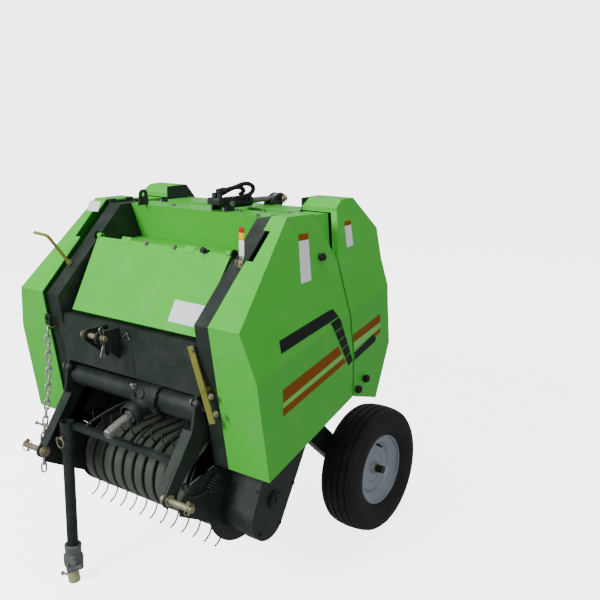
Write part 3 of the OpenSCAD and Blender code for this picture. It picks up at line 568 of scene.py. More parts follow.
# Lower hitch pins' linch pins, in yellow zinc: a short pin through each hitch pin's end, with a
# spring ring that snaps over it.
def wire(mesh, points, radius, closed=False, sides=8):
    """A round wire along points, smoothed through them."""
    curve = bpy.data.curves.new("wire", "CURVE")
    curve.dimensions = "3D"
    curve.bevel_depth = radius
    curve.bevel_resolution = sides // 4
    curve.use_fill_caps = True
    curve.resolution_u = 6
    line = curve.splines.new("NURBS")
    line.points.add(len(points) - 1)
    for spot, point in zip(line.points, points):
        spot.co = (*point, 1)
    line.order_u = 3
    line.use_endpoint_u = not closed
    line.use_cyclic_u = closed
    carrier = bpy.data.objects.new("wire", curve)
    data = bpy.data.meshes.new_from_object(carrier)
    part = bmesh.new()
    part.from_mesh(data)
    bpy.data.meshes.remove(data)
    bpy.data.objects.remove(carrier)
    bpy.data.curves.remove(curve)
    bmesh.ops.remove_doubles(part, verts=part.verts, dist=1e-6)
    merge(mesh, part)


def ring(mesh, centre, across, along, radius, wire_r, steps=32):
    """A round wire ring in the plane of two directions."""
    across, along = Vector(across).normalized(), Vector(along).normalized()
    turns = [i / steps * 2 * pi for i in range(steps)]
    points = [Vector(centre) + (across * cos(t) + along * sin(t)) * radius for t in turns]
    wire(mesh, points, wire_r, closed=True)


LINCH_X, HITCH_Y, HITCH_Z = 0.424, -0.58, 0.408
for side, sign in SIDES.items():
    mesh = bmesh.new()
    spot = Vector((sign * LINCH_X, HITCH_Y, HITCH_Z))
    post(mesh, spot + Vector((0, 0, -0.022)), UP, 0.004, 0.046)
    post(mesh, spot + Vector((0, 0, 0.0125)), UP, 0.0065, 0.01)
    ring_at = spot + Vector((sign * 0.002, 0, -0.003))
    ring(mesh, ring_at, BACK, (sign * 0.3, 0, 1), 0.0205, 0.0018)
    piece(f"linch_pin_{side}", mesh, zinc)

# Top link pin: a plated pin through the two ears, with a head, a washer and a spring clip of steel
# wire whose outer leg is wavy.
LINK_X, LINK_Y, LINK_Z, EAR_OUT, TOP_PIN_R = -0.075, -0.525, 0.878, 0.036, 0.0095
head_x = LINK_X - EAR_OUT - 0.016
posts("top_link_pin", zinc, (
    ((head_x, LINK_Y, LINK_Z), RIGHT, TOP_PIN_R, 2 * EAR_OUT + 0.04, 32),
    ((head_x, LINK_Y, LINK_Z), (-1, 0, 0), 0.0145, 0.01, 32, 0.012),
    ((LINK_X - EAR_OUT - 0.0045, LINK_Y, LINK_Z), RIGHT, 0.014, 0.004, 32),
))
CLIP = [  # forward of the pin, height: the straight leg, the loop, the wavy leg
    (0, 0.812), (0, 0.84), (0, 0.878), (0, 0.905),
    (0.002, 0.916), (0.012, 0.921), (0.02, 0.912), (0.014, 0.903),
    (0.011, 0.893), (0.0145, 0.88), (0.011, 0.866), (0.003, 0.856), (0.008, 0.844),
    (0.013, 0.828), (0.016, 0.816),
]
clip_x = LINK_X + EAR_OUT + 0.013
mesh = bmesh.new()
wire(mesh, [(clip_x, LINK_Y - forward, z) for forward, z in CLIP], 0.002)
piece("top_link_clip", mesh, steel)

# Front beam: a weld seam down its middle, and a bent wire hook at the seam's top for the clip.
BEAM_Y = -0.445
SEAM = [(0.017, 0.882), (0.024, 0.83), (0.031, 0.78), (0.037, 0.738)]  # x, z
HOOK = [  # x, forward of the beam, z
    (-0.019, 0.002, 0.871), (-0.008, 0.008, 0.872), (0.004, 0.012, 0.879), (0.01, 0.012, 0.893),
    (0.018, 0.01, 0.886), (0.014, 0.008, 0.874), (0.024, 0.006, 0.866),
]
mesh = bmesh.new()
wire(mesh, [(x, BEAM_Y - 0.0005, z) for x, z in SEAM], 0.0022)
piece("beam_seam", mesh, grey)
mesh = bmesh.new()
wire(mesh, [(x, BEAM_Y - forward, z) for x, forward, z in HOOK], 0.0018)
piece("beam_hook", mesh, steel)

# Front cover: two green hinge leaves, three bolts and a black catch along its hinged upper edge.
COVER_TOP, COVER_LOW, SHEET_T = Vector((0, -0.271, 1.18)), Vector((0, -0.424, 0.92)), 0.003
LEAVES, LEAF_W, LEAF_DEEP, LEAF_T = (-0.18, 0.15), 0.05, 0.026, 0.0035
cover_down = (COVER_LOW - COVER_TOP).normalized()
cover_out = Vector((0, cover_down.z, -cover_down.y))


def on_cover(x, share):
    """A point on the cover's outer face, share of the way down from its hinge."""
    return COVER_TOP.lerp(COVER_LOW, share) + Vector((x, 0, 0)) + cover_out * SHEET_T


mesh = bmesh.new()
for x in LEAVES:
    level = Matrix((Vector(RIGHT), -cover_down, cover_out)).transposed().to_4x4()
    leaf = level @ Matrix.Diagonal((LEAF_W, LEAF_DEEP, LEAF_T, 1))
    bmesh.ops.create_cube(mesh, size=1, matrix=shift(on_cover(x, 0.02)) @ leaf)
piece("cover_leaves", mesh, green, "cover")
cover_spots = [on_cover(x, 0.02) for x in (-0.068, 0.077, 0.221)]
bolts("cover_bolts", cover_spots, cover_out, 0.009, steel, "cover")
posts("cover_catch", rubber, (
    (on_cover(0.205, 0.015), RIGHT, 0.007, 0.034),
    (on_cover(0.222, 0.015), cover_out, 0.01, 0.016),
), "cover")


# Blank white plates stuck on flat sheet: one low on the cover, one on the left guard's top facet.
def flat_film(name, corners, rides):
    mesh = bmesh.new()
    face = mesh.faces.new([mesh.verts.new(corner) for corner in corners])
    face.normal_update()
    outward = face.normal if face.normal.z > 0 else -face.normal
    mesh.transform(shift(outward * FILM_LIFT))
    bmesh.ops.solidify(mesh, geom=[face], thickness=FILM_T)
    piece(name, mesh, FILM_FINISH["white"], rides)


COVER_PLATE = ((0.17, 0.635), (0.322, 0.64), (0.328, 0.9), (0.171, 0.895))  # x, share down
TOP_PLATE = (
    (-0.51, -0.174, 1.2933), (-0.443, -0.173, 1.2943), (-0.42, -0.208, 1.2587),
    (-0.487, -0.209, 1.2577),
)
flat_film("plate_cover", [on_cover(x, share) for x, share in COVER_PLATE], "cover")
flat_film("plate_guard_top", TOP_PLATE, "guard_left")

# Tyres: implement tyres with four grooves round the tread, raised rings on the wall and a bead in
# the rim, spun about the axle from one cross-section.
WHEEL_X, TYRE_R = 0.516, 0.25
TREAD_EDGE, TREAD_TOP, TREAD_FALL = 0.062, 0.0012, 0.008
GROOVES, GROOVE_W, GROOVE_DEEP = (-0.042, -0.014, 0.014, 0.042), 0.006, 0.006
LIP, LIP_DEEP = 0.001, 0.0006
WALL = [  # distance across from the middle, radius: from the bead out to the shoulder
    (0.0496, 0.1362), (0.056, 0.143), (0.064, 0.153), (0.0655, 0.156), (0.069, 0.1575),
    (0.0765, 0.18), (0.079, 0.193), (0.0782, 0.204), (0.0775, 0.205), (0.0772, 0.2065),
    (0.0755, 0.218), (0.0722, 0.226), (0.0735, 0.2268), (0.07, 0.234), (0.062, 0.2408),
]


def crown(x):
    """Height of the tread over the axle at a distance across from its middle."""
    return TYRE_R - TREAD_TOP - TREAD_FALL * (abs(x) / TREAD_EDGE) ** 2.4


tread = []
for groove in GROOVES:
    for edge, drops in (
        (groove - GROOVE_W / 2, (0, LIP_DEEP, GROOVE_DEEP)),
        (groove + GROOVE_W / 2, (GROOVE_DEEP, LIP_DEEP, 0)),
    ):
        tread += [(edge + x, crown(edge) - drop) for x, drop in zip((-LIP, 0, LIP), drops)]
section = [(-x, radius) for x, radius in WALL] + tread + WALL[::-1]
for side, sign in SIDES.items():
    mesh = spun(section)
    mesh.transform(shift((sign * WHEEL_X, AXLE_Y, AXLE_Z)))
    wheel = f"wheel_{side}"
    tyre = piece(f"grooved_tyre_{side}", mesh, rubber, wheel, crisp=28)
    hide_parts(f"tyre_{side}")

# Rims: a pressed dish with a stepped well, rolled edges and a welded hub tube, in blue-grey paint.
# Spun from one section as the tyre is; the axle's cap and nut and the valve sit in its dish.
DISH = [  # distance outwards from the wheel's middle, radius
    (0.017, 0.0152), (0.033, 0.0152), (0.033, 0.022), (0.031, 0.024), (0.022, 0.026),
    (0.0235, 0.052), (0.019, 0.058), (0.019, 0.076), (0.024, 0.083), (0.024, 0.09), (0.02, 0.096),
    (0.03, 0.101), (0.034, 0.108), (0.036, 0.1085), (0.0385, 0.116), (0.0405, 0.1165),
    (0.043, 0.125), (0.0455, 0.1325), (0.05, 0.1352), (0.054, 0.1345), (0.056, 0.131),
    (0.0585, 0.1318), (0.059, 0.1352), (0.0545, 0.1396), (0.049, 0.1362), (0.04, 0.13),
    (0.034, 0.112), (-0.036, 0.112), (-0.044, 0.134), (-0.049, 0.1362), (-0.0545, 0.1396),
    (-0.059, 0.1352), (-0.0585, 0.1318), (-0.05, 0.13), (-0.044, 0.12), (-0.04, 0.105),
    (0.012, 0.105), (0.015, 0.096), (0.015, 0.03), (-0.06, 0.029), (-0.06, 0.0152),
]
VALVE_RING = 0.102
rim = Finish("rim_paint", (0.19, 0.22, 0.25), 0.4, coat=0.2, slot="rim_paint")
rim.clouded(10.0, 4.0, (0.16, 0.19, 0.22), (0.26, 0.29, 0.32), 0.25, 0.3)
dress(rim, "rim_left", "rim_right")
for side, sign in SIDES.items():
    wheel = f"wheel_{side}"
    mesh = spun([(sign * x, radius) for x, radius in DISH])
    mesh.transform(shift((sign * WHEEL_X, AXLE_Y, AXLE_Z)))
    dish = piece(f"pressed_rim_{side}", mesh, rim, wheel, crisp=40)
    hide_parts(f"rim_{side}")
    out = Vector((sign, 0, 0))
    hub = Vector((sign * (WHEEL_X + 0.033), AXLE_Y, AXLE_Z))
    nut = posts(f"hub_nut_{side}", olive, (
        (hub, out, 0.02, 0.004, 32), (hub + out * 0.004, out, 0.015, 0.012, 6, 0.0135),
    ), wheel)
    valve_way = (sign, 0, -0.25)
    valve = Vector((sign * (WHEEL_X + 0.028), AXLE_Y, AXLE_Z + VALVE_RING))
    valve_end = valve + Vector((sign * 0.021, 0, -0.005))
    posts(f"valve_{side}", rubber, (
        (valve, valve_way, 0.0045, 0.022, 16), (valve_end, valve_way, 0.0035, 0.01, 12, 0.003),
    ), wheel)

# Bale size indicator: a flat strip painted in three fields over its steel foot, held on the right
# side plate's flange by a folded, plated clip and a bolt.
IND_X, IND_Y = (0.401, 0.422), (-0.302, -0.298)
SIGNAL = {  # colour, shine, lower and upper end
    "red": ((0.4, 0.008, 0.004), 0.2, (1.262, 1.2815)),
    "yellow": ((0.62, 0.38, 0.0), 0.1, (1.237, 1.2618)),
    "white": ((0.72, 0.72, 0.68), 0.3, (1.185, 1.2368)),
}
STRAP_Z = (1.143, 1.1848)


def rounded(mesh, edges, size, steps):
    """Round edges with a bevel of this size."""
    bmesh.ops.bevel(
        mesh, geom=edges, offset=size, offset_type="OFFSET", affect="EDGES", segments=steps,
        profile=0.5, material=-1, clamp_overlap=True,
    )


def bar(mesh, x, y, z, edge=0.0):
    """A box between two corners, with its edges broken where edge is given."""
    part = bmesh.new()
    low, high = (Vector(corner) for corner in zip(x, y, z))
    box = shift((low + high) / 2) @ Matrix.Diagonal((*(high - low), 1))
    bmesh.ops.create_cube(part, size=1, matrix=box)
    if edge:
        rounded(part, part.edges[:], edge, 2)
    merge(mesh, part)


for colour, (base, shine, z) in SIGNAL.items():
    paint = Finish(f"signal_{colour}", base, 0.4, shine=shine)
    paint.feed(Roughness=paint.noise(60.0) * 0.2 + 0.3)
    mesh = bmesh.new()
    bar(mesh, IND_X, IND_Y, z, edge=0.0006)
    piece(f"indicator_{colour}", mesh, paint)
mesh = bmesh.new()
bar(mesh, IND_X, IND_Y, STRAP_Z, edge=0.0006)
strap = piece("indicator_strap", mesh, steel)
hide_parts("bale_indicator")
mesh = bmesh.new()
for x in (0.392, 0.419):
    bar(mesh, (x, x + 0.003), (-0.312, -0.294), (1.15, 1.172), edge=0.0005)
bar(mesh, (0.392, 0.422), (-0.3045, -0.3025), (1.146, 1.17), edge=0.0005)
bolt(mesh, (0.407, -0.3045, 1.158), FORWARD, 0.005)
piece("indicator_clip", mesh, zinc)

# Star knobs that hold the side guards shut: six soft lobes on a plain hub, standing square on the
# guard's face, with every edge rounded.
LOBES, LOBE_STEPS, LOBE_SHARE = 6, 8, 0.1
KNOB_R, KNOB_H, HUB_R, HUB_H, KNOB_EDGE = 0.0145, 0.02, 0.008, 0.004, 0.0022
GUARD_KNOB, GATE_KNOBS = (-0.038, 1.158), ((0.156, 0.686), (0.107, 0.658))  # y, z


def star_knob(mesh, sign, y, z):
    out = Vector((sign, 0, 0))
    if over_crease(y, z) > 0:
        rise = sin(GUARD_LEAN)
        out = Vector((
            sign * cos(GUARD_LEAN), -rise * sin(CREASE_RISE), rise * cos(CREASE_RISE)
        ))
    part = bmesh.new()
    outline = []
    for i in range(LOBES * LOBE_STEPS):
        turn = i / (LOBES * LOBE_STEPS) * 2 * pi
        radius = KNOB_R * (1 - LOBE_SHARE + LOBE_SHARE * cos(turn * LOBES))
        outline.append(part.verts.new((radius * cos(turn), radius * sin(turn), HUB_H)))
    end, corners = drawn_out(part, [part.faces.new(outline)], keep=True)
    bmesh.ops.translate(part, verts=corners, vec=(0, 0, KNOB_H - HUB_H))
    rims = [edge for edge in part.edges if any(len(face.verts) > 4 for face in edge.link_faces)]
    rounded(part, rims, KNOB_EDGE, 3)
    post(part, (0, 0, 0), UP, HUB_R, 0.005)
    post(part, (0, 0, KNOB_H - 0.0005), UP, 0.005, 0.0012)
    merge(mesh, part, shift((sign * skin_x(y, z), y, z)) @ facing(out))


for side, sign in SIDES.items():
    guard = f"guard_{side}"
    mesh = bmesh.new()
    star_knob(mesh, sign, *GUARD_KNOB)
    knob = piece(f"star_knob_{side}", mesh, rubber, guard, crisp=40)
    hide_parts(f"guard_knob_{side}")
mesh = bmesh.new()
for sign in SIDES.values():
    for y, z in GATE_KNOBS:
        star_knob(mesh, sign, y, z)
knobs = piece("tailgate_star_knobs", mesh, rubber, "tailgate", crisp=40)
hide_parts("tailgate_knobs")

# Tailgate cylinder's hoses: two short black hoses that loop from a port block beside the front
# ears to the barrel. Routes are (y, z).
HOSE_R, BLOCK_END_Y = 0.0085, -0.062
OUTER_X, OUTER_Z = 0.122, 1.366
INNER_X, INNER_Z = 0.102, 1.35
OUTER_HOSE = [
    (-0.075, 1.366), (-0.045, 1.368), (-0.005, 1.374), (0.045, 1.385), (0.08, 1.38),
    (0.099, 1.366), (0.096, 1.352), (0.078, 1.341), (0.045, 1.334), (0.01, 1.332),
]
INNER_HOSE = [
    (-0.075, 1.35), (-0.05, 1.352), (-0.012, 1.366), (0.03, 1.372), (0.054, 1.366),
    (0.066, 1.355), (0.058, 1.346), (0.044, 1.342),
]
mesh = bmesh.new()
for x, hose_route in ((OUTER_X, OUTER_HOSE), (INNER_X, INNER_HOSE)):
    wire(mesh, [(x, y, z) for y, z in hose_route], HOSE_R, sides=16)
hose = piece("cylinder_hose", mesh, rubber, None)
bend_start, bend_end = Vector((OUTER_X, BLOCK_END_Y, OUTER_Z)), Vector((OUTER_X, 0.004, OUTER_Z))
PARK @ bend_start
PARK @ bend_end
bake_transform(hose)
mesh = bmesh.new()
for x, z in ((OUTER_X, OUTER_Z), (INNER_X, INNER_Z)):
    post(mesh, (x, BLOCK_END_Y, z), FORWARD, 0.0115, 0.02, sides=6)
    post(mesh, (x, BLOCK_END_Y - 0.04, z), BACK, 0.0095, 0.022, sides=20)
post(mesh, (OUTER_X, -0.09, 1.34), UP, 0.01, 0.034, sides=20)
bar(mesh, (0.075, 0.134), (-0.108, -0.07), (1.315, 1.34), edge=0.003)
piece("hose_elbow", mesh, grey)
posts("barrel_port", grey, (
    ((0.116, 0.062, 1.326), (0.35, -1, 0), 0.0085, 0.016, 6),
    ((0.1165, 0.07, 1.324), BACK, 0.01, 0.016, 20),
), "barrel")

# Tailgate cylinder's pins: a hexagonal nut on each end of the front pin, and a linch pin with its
# ring through the rear pin's end.
mesh = bmesh.new()
post(mesh, (0.1305, 0.272, 1.311), RIGHT, 0.008, 0.012, sides=20)
post(mesh, (0.1375, 0.272, 1.298), UP, 0.003, 0.03)
ring(mesh, (0.1375, 0.272, 1.309), BACK, UP, 0.015, 0.0016)
piece("eye_pin_clip", mesh, zinc, "tailgate")
posts("front_pin_nuts", steel, (
    ((0.144, -0.05, 1.317), RIGHT, 0.011, 0.006, 6),
    ((0.056, -0.05, 1.317), (-1, 0, 0), 0.011, 0.006, 6),
))

# Density bar: two plated bolts at its foot, its pivot and the one below it, and a small steel bolt
# that stops its upper end.
FACE_Y = -0.4622
PIVOTS, STOP = [(0.4195, FACE_Y, 0.748), (0.44, FACE_Y, 0.694)], (0.342, FACE_Y, 0.888)
bolts("density_bar_bolts", PIVOTS, FORWARD, 0.009, zinc)
bolts("density_bar_stop", [STOP], FORWARD, 0.006, steel)

# Pickup drive cover: a stepped cap over the sprocket's shaft with three screws round it, and five
# more screws along the cover's edge.
DRIVE_X, HUB_Y, HUB_Z, HUB_RING = 0.511, -0.255, 0.338, 0.03
COVER_SCREWS = ((-0.345, 0.4), (-0.352, 0.33), (-0.33, 0.24), (-0.225, 0.24), (-0.15, 0.36))
posts("drive_hub_cap", grey, (
    ((DRIVE_X, HUB_Y, HUB_Z), RIGHT, 0.034, 0.006, 40),
    ((DRIVE_X + 0.006, HUB_Y, HUB_Z), RIGHT, 0.028, 0.008, 40, 0.025),
    ((DRIVE_X + 0.014, HUB_Y, HUB_Z), RIGHT, 0.012, 0.004),
))
mesh = bmesh.new()
for i in range(3):
    turn = (i / 3 + 0.1) * 2 * pi
    y, z = HUB_Y + HUB_RING * cos(turn), HUB_Z + HUB_RING * sin(turn)
    bolt(mesh, (DRIVE_X + 0.006, y, z), RIGHT, 0.004)
for y, z in COVER_SCREWS:
    bolt(mesh, (DRIVE_X, y, z), RIGHT, 0.005)
piece("drive_cover_screws", mesh, grey)

# Stand foot: a cast socket round the tube's end with a rolled top edge, a foot pedal on its side
# and a plated stub that stands upright on the ground, held by a small bolt.
FOOT = Vector((-0.262, -0.52, -0.12069))
PEDAL_AT, PEDAL_TURN, PEDAL_RISE = Vector((0.0374, -0.0221, 0.074)), radians(36), radians(20)
cast = Finish("cast_zinc", (0.12, 0.13, 0.13), 0.42, metal=0.7, shine=0.3)
cast.clouded(30.0, 5.0, (0.075, 0.085, 0.085), (0.21, 0.22, 0.22), 0.3, 0.25)
pale_zinc = Finish("pale_zinc", (0.42, 0.42, 0.24), 0.4, metal=0.4, shine=0.3)
pale_zinc.clouded(26.0, 4.0, (0.32, 0.33, 0.17), (0.52, 0.52, 0.34), 0.3, 0.28)


def above_foot(x, y, z):
    return FOOT + Vector((x, y, z))


mesh = bmesh.new()
bar(mesh, (-0.031, 0.031), (-0.03, 0.03), (0.058, 0.118), edge=0.014)
bar(mesh, (-0.012, 0.016), (-0.036, -0.028), (0.07, 0.09), edge=0.003)
mesh.transform(shift(FOOT))
post(mesh, above_foot(0, -0.004, 0.052), UP, 0.0262, 0.03, sides=48, tip=0.029)
post(mesh, above_foot(0, 0, 0.11), UP, 0.03, 0.04, sides=48, tip=0.032)
ring(mesh, above_foot(0, 0, 0.148), RIGHT, BACK, 0.0275, 0.0052, steps=48)
part = bmesh.new()
bar(part, (-0.032, 0.032), (-0.013, 0.013), (-0.01, 0.01), edge=0.006)
bar(part, (-0.01, 0.014), (-0.01, 0.014), (0.004, 0.028), edge=0.003)
pedal_turn = Matrix.Rotation(PEDAL_TURN, 4, "Z") @ Matrix.Rotation(-PEDAL_RISE, 4, "Y")
merge(mesh, part, shift(FOOT + PEDAL_AT) @ pedal_turn)
socket = piece("stand_socket", mesh, cast, "stand", crisp=40)
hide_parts("stand_foot")
stub_way, bolt_way = Matrix.Rotation(NOSE_UP, 4, "X") @ Vector(UP), (-1, -0.3, 0)
posts("stand_stub", pale_zinc, [(FOOT, stub_way, 0.0225, 0.06, 48)], "stand")
posts("stand_stub_bolt", steel, (
    (above_foot(-0.02, -0.018, 0.026), bolt_way, 0.005, 0.018, 12),
    (above_foot(-0.036, -0.0228, 0.026), bolt_way, 0.0085, 0.007, 6),
), "stand")

# Stand pin: the head of the pin that locks the stand's leg in its sleeve, with its pull ring.
PIN_X = FOOT.x + 0.01
mesh = bmesh.new()
post(mesh, (PIN_X, -0.55, 0.47), FORWARD, 0.0055, 0.01, sides=12)
ring(mesh, (PIN_X, -0.56, 0.452), RIGHT, UP, 0.019, 0.0018)
piece("stand_pin_ring", mesh, zinc)

# Hold-down wires of the wind guard: four bent spring rods that run from the hitch's crossbar back
# over the bands and end on a rod between the side plates.
HOLD_DOWNS = ((-0.182, -0.03), (-0.08, 0.06), (0.087, 0.15), (0.195, 0.29))  # front x, rear x
BEND = (  # share of the way back, y, z
    (0, -0.5, 0.514), (0.12, -0.482, 0.536), (0.5, -0.4, 0.59), (0.8, -0.31, 0.604),
    (1, -0.25, 0.6),
)
mesh = bmesh.new()
for front_x, rear_x in HOLD_DOWNS:
    wire(mesh, [(front_x + (rear_x - front_x) * share, y, z) for share, y, z in BEND], 0.004)
post(mesh, (-0.3497, -0.25, 0.6), RIGHT, 0.008, 0.6994)
wires = piece("hold_down_wires", mesh, grey)
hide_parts("wind_guard")

# Pull spring by the right end plate, which carries part of the pickup's weight: a coil of painted
# wire and the eye bolt that it hangs on.
COIL_LOW, COIL_HIGH = Vector((0.374, -0.44, 0.4)), Vector((0.374, -0.39, 0.436))
COIL_R, COIL_TURNS, TURN_STEPS = 0.0125, 6, 12
coil_run = COIL_HIGH - COIL_LOW
rise = coil_run.normalized().cross(side_way)
coil = []
for i in range(COIL_TURNS * TURN_STEPS + 1):
    turn = i / TURN_STEPS * 2 * pi
    spoke = side_way * cos(turn) + rise * sin(turn)
    coil.append(COIL_LOW + coil_run * (i / (COIL_TURNS * TURN_STEPS)) + spoke * COIL_R)
mesh = bmesh.new()
wire(mesh, coil, 0.0024)
wire(mesh, [(0.366, -0.52, 0.405), (0.37, -0.48, 0.392), COIL_LOW], 0.0045)
piece("pull_spring", mesh, grey)

# Stripper bands: each band is a channel, rolled round the reel with its two edges turned inwards,
# and carried on the rails at both ends. Their paint is a paler grey: painted light on the bands.
REEL_Y, REEL_Z = -0.255, 0.318
BANDS, BAND_STEP, BAND_R, BAND_W, BAND_EDGE = 12, 0.056, 0.14, 0.04, 0.024
FOLD, BAND_T = 0.003, 0.004
RAIL_HIGH, RAIL_LOW, RAIL_R = (-0.085, 0.473), (-0.069, 0.193), 0.015
# A paler copy of the frame's grey paint: painted light that stands for the light falling on the
# bands.
painted_light_grey = Finish("painted_light_grey_paint", (0.06, 0.072, 0.058), 0.45, shine=0.3, slot="grey_paint")
painted_light_grey.clouded(11.0, 5.0, (0.024, 0.031, 0.025), (0.08, 0.092, 0.073), 0.25, 0.3)
half, inner = BAND_W / 2, BAND_R - BAND_EDGE
channel = [
    (-half, inner), (-half, BAND_R - FOLD), (-half + FOLD, BAND_R), (half - FOLD, BAND_R),
    (half, BAND_R - FOLD), (half, inner), (half - FOLD, inner), (half - FOLD, BAND_R - BAND_T),
    (-half + FOLD, BAND_R - BAND_T), (-half + FOLD, inner),
]
middles = [(i - (BANDS - 1) / 2) * BAND_STEP for i in range(BANDS)]
mesh = bmesh.new()
for middle in middles:
    part = spun([(middle + x, radius) for x, radius in channel], 28, angle=pi)
    for height, rail_y in ((1, RAIL_HIGH[0]), (-1, RAIL_LOW[0])):
        open_end = [
            edge for edge in part.edges
            if edge.is_boundary and all(vert.co.z * height > 0 for vert in edge.verts)
        ]
        run = bmesh.ops.extrude_edge_only(part, edges=open_end)["geom"]
        corners = [item for item in run if isinstance(item, bmesh.types.BMVert)]
        bmesh.ops.translate(part, verts=corners, vec=(0, rail_y - REEL_Y, 0))
    bmesh.ops.holes_fill(part, edges=part.edges[:], sides=0)
    merge(mesh, part, shift((0, REEL_Y, REEL_Z)))
bands = piece("channel_bands", mesh, painted_light_grey, crisp=30)
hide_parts("stripper_bands")
mesh = bmesh.new()
post(mesh, (-0.3498, *RAIL_HIGH), RIGHT, RAIL_R, 0.6996, sides=40)
post(mesh, (-0.361, *RAIL_LOW), RIGHT, RAIL_R, 0.722, sides=40)
for middle in middles:
    bolt(mesh, (middle, RAIL_HIGH[0] - 0.03, REEL_Z + BAND_R), UP, 0.006)
piece("band_rails", mesh, grey)

# Pickup reel: tube and stub shafts, an arm at each end of three tine bars, and the bars' spring
# tines between the bands, each with its coil on the bar and a tip that hooks forward.
TINE_BARS, BAR_RING, BAR_R, REACH, TINE_R, REEL_PHASE = 3, 0.095, 0.009, 0.2, 0.003, radians(31.5)
REEL_L, STUB_L, STUB_R, ARM_W, ARM_HALF = 0.68, 0.72, 0.0132, 0.008, 0.012
TINE_COIL_R, COIL_STEPS, LAST_TINE_X = 0.0125, 8, 0.332
TINE = (  # ahead of the bar, distance from the reel's axis
    (0.01, BAR_RING + 0.03), (0.003, BAR_RING + 0.05), (0.001, REACH - 0.034),
    (0.007, REACH - 0.014), (0.019, REACH - 0.001),
)
spring_steel = Finish("spring_steel", (0.08, 0.085, 0.08), 0.4, metal=0.6)
spring_cloud = spring_steel.noise(50.0, detail=3.0)
spring_steel.feed(
    Base_Color=spring_steel.mix(spring_cloud, (0.025, 0.03, 0.025), (0.09, 0.095, 0.085))
)
mesh, tines = bmesh.new(), bmesh.new()
post(mesh, (-REEL_L / 2, 0, 0), RIGHT, 0.03, REEL_L, sides=40)
post(mesh, (-STUB_L / 2, 0, 0), RIGHT, STUB_R, STUB_L, sides=32)
for k in range(TINE_BARS):
    turn = Matrix.Rotation(k * 2 * pi / TINE_BARS + REEL_PHASE, 4, "X")
    part = bmesh.new()
    post(part, (-REEL_L / 2, 0, BAR_RING), RIGHT, BAR_R, REEL_L, sides=20)
    for x in (-0.334, 0.326):
        bar(part, (x, x + ARM_W), (-ARM_HALF, ARM_HALF), (0.0, BAR_RING), edge=0.001)
        post(part, (x, 0, BAR_RING), RIGHT, 0.017, ARM_W)
    merge(mesh, part, turn)
    part = bmesh.new()
    for i in range(BANDS + 1):
        x = min(max((i - BANDS / 2) * BAND_STEP, -LAST_TINE_X), LAST_TINE_X)
        coil = []
        for j in range(2 * COIL_STEPS + 1):
            angle = j / COIL_STEPS * 2 * pi
            across = TINE_COIL_R * cos(angle)
            height = BAR_RING + TINE_COIL_R * sin(angle)
            coil.append((x - 0.006 + j / (2 * COIL_STEPS) * 0.0055, across, height))
        wire(part, coil + [(x, y, z) for y, z in TINE], TINE_R)
    merge(tines, part, turn)
for part in (mesh, tines):
    part.transform(shift((0, REEL_Y, REEL_Z)))
reel = piece("reel_frame", mesh, grey, "reel")
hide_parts("pickup_reel")
piece("reel_tines", tines, spring_steel, "reel")

# Side deflectors between the chamber's plates and the pickup's ends: a bent-edged sheet inside
# each plate with two rivets. Outlines are (y, z).
PLATE_IN, DEFLECTOR_T = 0.3497, 0.003
DEFLECTOR = [
    (-0.39, 0.57), (-0.462, 0.5), (-0.498, 0.442), (-0.384, 0.466), (-0.29, 0.395),
    (-0.29, 0.49), (-0.375, 0.49),
]
for side, sign in SIDES.items():
    mesh = bmesh.new()
    mesh.faces.new([mesh.verts.new((sign * PLATE_IN, y, z)) for y, z in DEFLECTOR])
    bmesh.ops.solidify(mesh, geom=mesh.faces[:], thickness=DEFLECTOR_T)
    outermost = max(abs(vert.co.x) for vert in mesh.verts)
    mesh.transform(shift((sign * (PLATE_IN - outermost), 0, 0)))
    for y, z in ((-0.345, 0.48), (-0.31, 0.48)):
        rivet_at = (sign * (PLATE_IN - DEFLECTOR_T), y, z)
        post(mesh, rivet_at, (-sign, 0, 0), 0.006, 0.003, sides=16, tip=0.004)
    piece(f"pickup_deflector_{side}", mesh, grey)

# Check chain: welded round links of galvanised steel from a bolted bracket on the left flange to
# the lower stay, each turned a quarter from the last, with the end links hanging free.
LINK_HALF, LINK_BEND, LINK_R, LINK_STEP, LINK_POINTS = 0.0105, 0.0088, 0.0036, 0.0305, 12
CHAIN_ROUTE = [Vector(point) for point in (
    (-0.393, -0.489, 0.85), (-0.38, -0.5, 0.7), (-0.37, -0.525, 0.56),
    (-0.366, -0.552, 0.43), (-0.37, -0.552, 0.33), (-0.372, -0.552, 0.285),
)]
chain_zinc = Finish("chain_zinc", (0.45, 0.45, 0.44), 0.3, metal=0.9)
chain_zinc.clouded(45.0, 4.0, (0.26, 0.26, 0.25), (0.6, 0.6, 0.58), 0.35, 0.18)
mesh = bmesh.new()
bar(mesh, (-0.414, -0.386), (-0.482, -0.474), (0.858, 0.9), edge=0.002)
bolt(mesh, (-0.4, -0.482, 0.886), FORWARD, 0.008)
piece("chain_bracket", mesh, grey)
lengths = [(b - a).length for a, b in zip(CHAIN_ROUTE, CHAIN_ROUTE[1:])]
mesh = bmesh.new()
for i in range(int(sum(lengths) / LINK_STEP)):
    walk, leg = (i + 0.5) * LINK_STEP, 0
    while walk > lengths[leg] and leg < len(lengths) - 1:
        walk, leg = walk - lengths[leg], leg + 1
    run = (CHAIN_ROUTE[leg + 1] - CHAIN_ROUTE[leg]).normalized()
    spot = CHAIN_ROUTE[leg] + run * walk
    flat = run.cross(Vector(BACK)).normalized()
    flat = Matrix.Rotation(radians(25 + 90 * (i % 2)), 3, run) @ flat
    link = []
    for j in range(LINK_POINTS):
        turn = (j + 0.5) / LINK_POINTS * 2 * pi
        along = LINK_HALF if cos(turn) > 0 else -LINK_HALF
        link.append(spot + run * (along + LINK_BEND * cos(turn)) + flat * LINK_BEND * sin(turn))
    wire(mesh, link, LINK_R, closed=True)
chain = piece("welded_chain", mesh, chain_zinc, crisp=60)
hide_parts("check_chain")

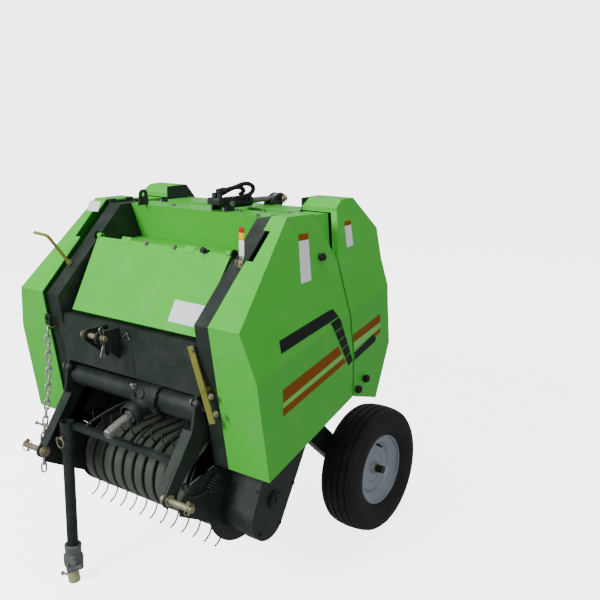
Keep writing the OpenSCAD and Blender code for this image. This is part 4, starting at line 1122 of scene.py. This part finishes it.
# Twine handle: one bent rod, plated olive, with a hexagonal foot where it goes into the side.
KNEE, TIP = Vector((-0.4235, -0.445, 1.191)), Vector((-0.47, -0.47, 1.202))
ROD_FOOT, ROD_R = Vector((-0.4, -0.372, 1.082)), 0.0062
down_way, out_way = (ROD_FOOT - KNEE).normalized(), (TIP - KNEE).normalized()
handle = [
    ROD_FOOT, ROD_FOOT.lerp(KNEE, 0.5), KNEE + down_way * 0.022, KNEE + down_way * 0.006,
    KNEE + out_way * 0.006, KNEE + out_way * 0.018, TIP,
]
mesh = bmesh.new()
wire(mesh, handle, ROD_R, sides=16)
post(mesh, ROD_FOOT + Vector((0, -0.004, 0.006)), down_way, 0.01, 0.014, sides=6)
rod = piece("bent_handle", mesh, olive)
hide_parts("twine_handle")

# Webs that close the hitch arms' folds, in the paler grey of painted light: one plate on the inner
# side of each arm.
# Outlines are (y, z).
WEB_X, WEB_T = 0.322, 0.004
WEBS = {
    "left": [(-0.386, 0.604), (-0.33, 0.59), (-0.42, 0.5), (-0.474, 0.474)],
    "right": [(-0.365, 0.604), (-0.362, 0.56), (-0.452, 0.512), (-0.478, 0.52), (-0.43, 0.59)],
}
for side, sign in SIDES.items():
    mesh = bmesh.new()
    mesh.faces.new([mesh.verts.new((sign * WEB_X, y, z)) for y, z in WEBS[side]])
    bmesh.ops.solidify(mesh, geom=mesh.faces[:], thickness=WEB_T)
    piece(f"arm_web_{side}", mesh, painted_light_grey)

# Roller bearings: a flanged housing with two bolts outside each chamber plate, seen when the side
# guards are lifted. On the right, the pickup's drive cover takes the last one's place.
CHAMBER_Y, CHAMBER_Z, ROLLER_RING, PLATE_OUT = -0.005, 0.83, 0.28, 0.355
BEARING_TURNS = {"right": range(90, 240, 30), "left": range(90, 270, 30)}
BOLT_RING = 0.024
for side, sign in SIDES.items():
    out = (sign, 0, 0)
    mesh, screws = bmesh.new(), bmesh.new()
    for turn in BEARING_TURNS[side]:
        y, z = cos(radians(turn)), sin(radians(turn))
        spot_y, spot_z = CHAMBER_Y + ROLLER_RING * y, CHAMBER_Z + ROLLER_RING * z
        spot = Vector((sign * PLATE_OUT, spot_y, spot_z))
        post(mesh, spot, out, 0.03, 0.004, sides=32)
        post(mesh, spot, out, 0.02, 0.014, sides=32, tip=0.017)
        for way in (-1, 1):
            offset = Vector((sign * 0.004, way * BOLT_RING * z, -way * BOLT_RING * y))
            bolt(screws, spot + offset, out, 0.004)
    piece(f"roller_bearings_{side}", mesh, grey)
    piece(f"bearing_bolts_{side}", screws, steel)
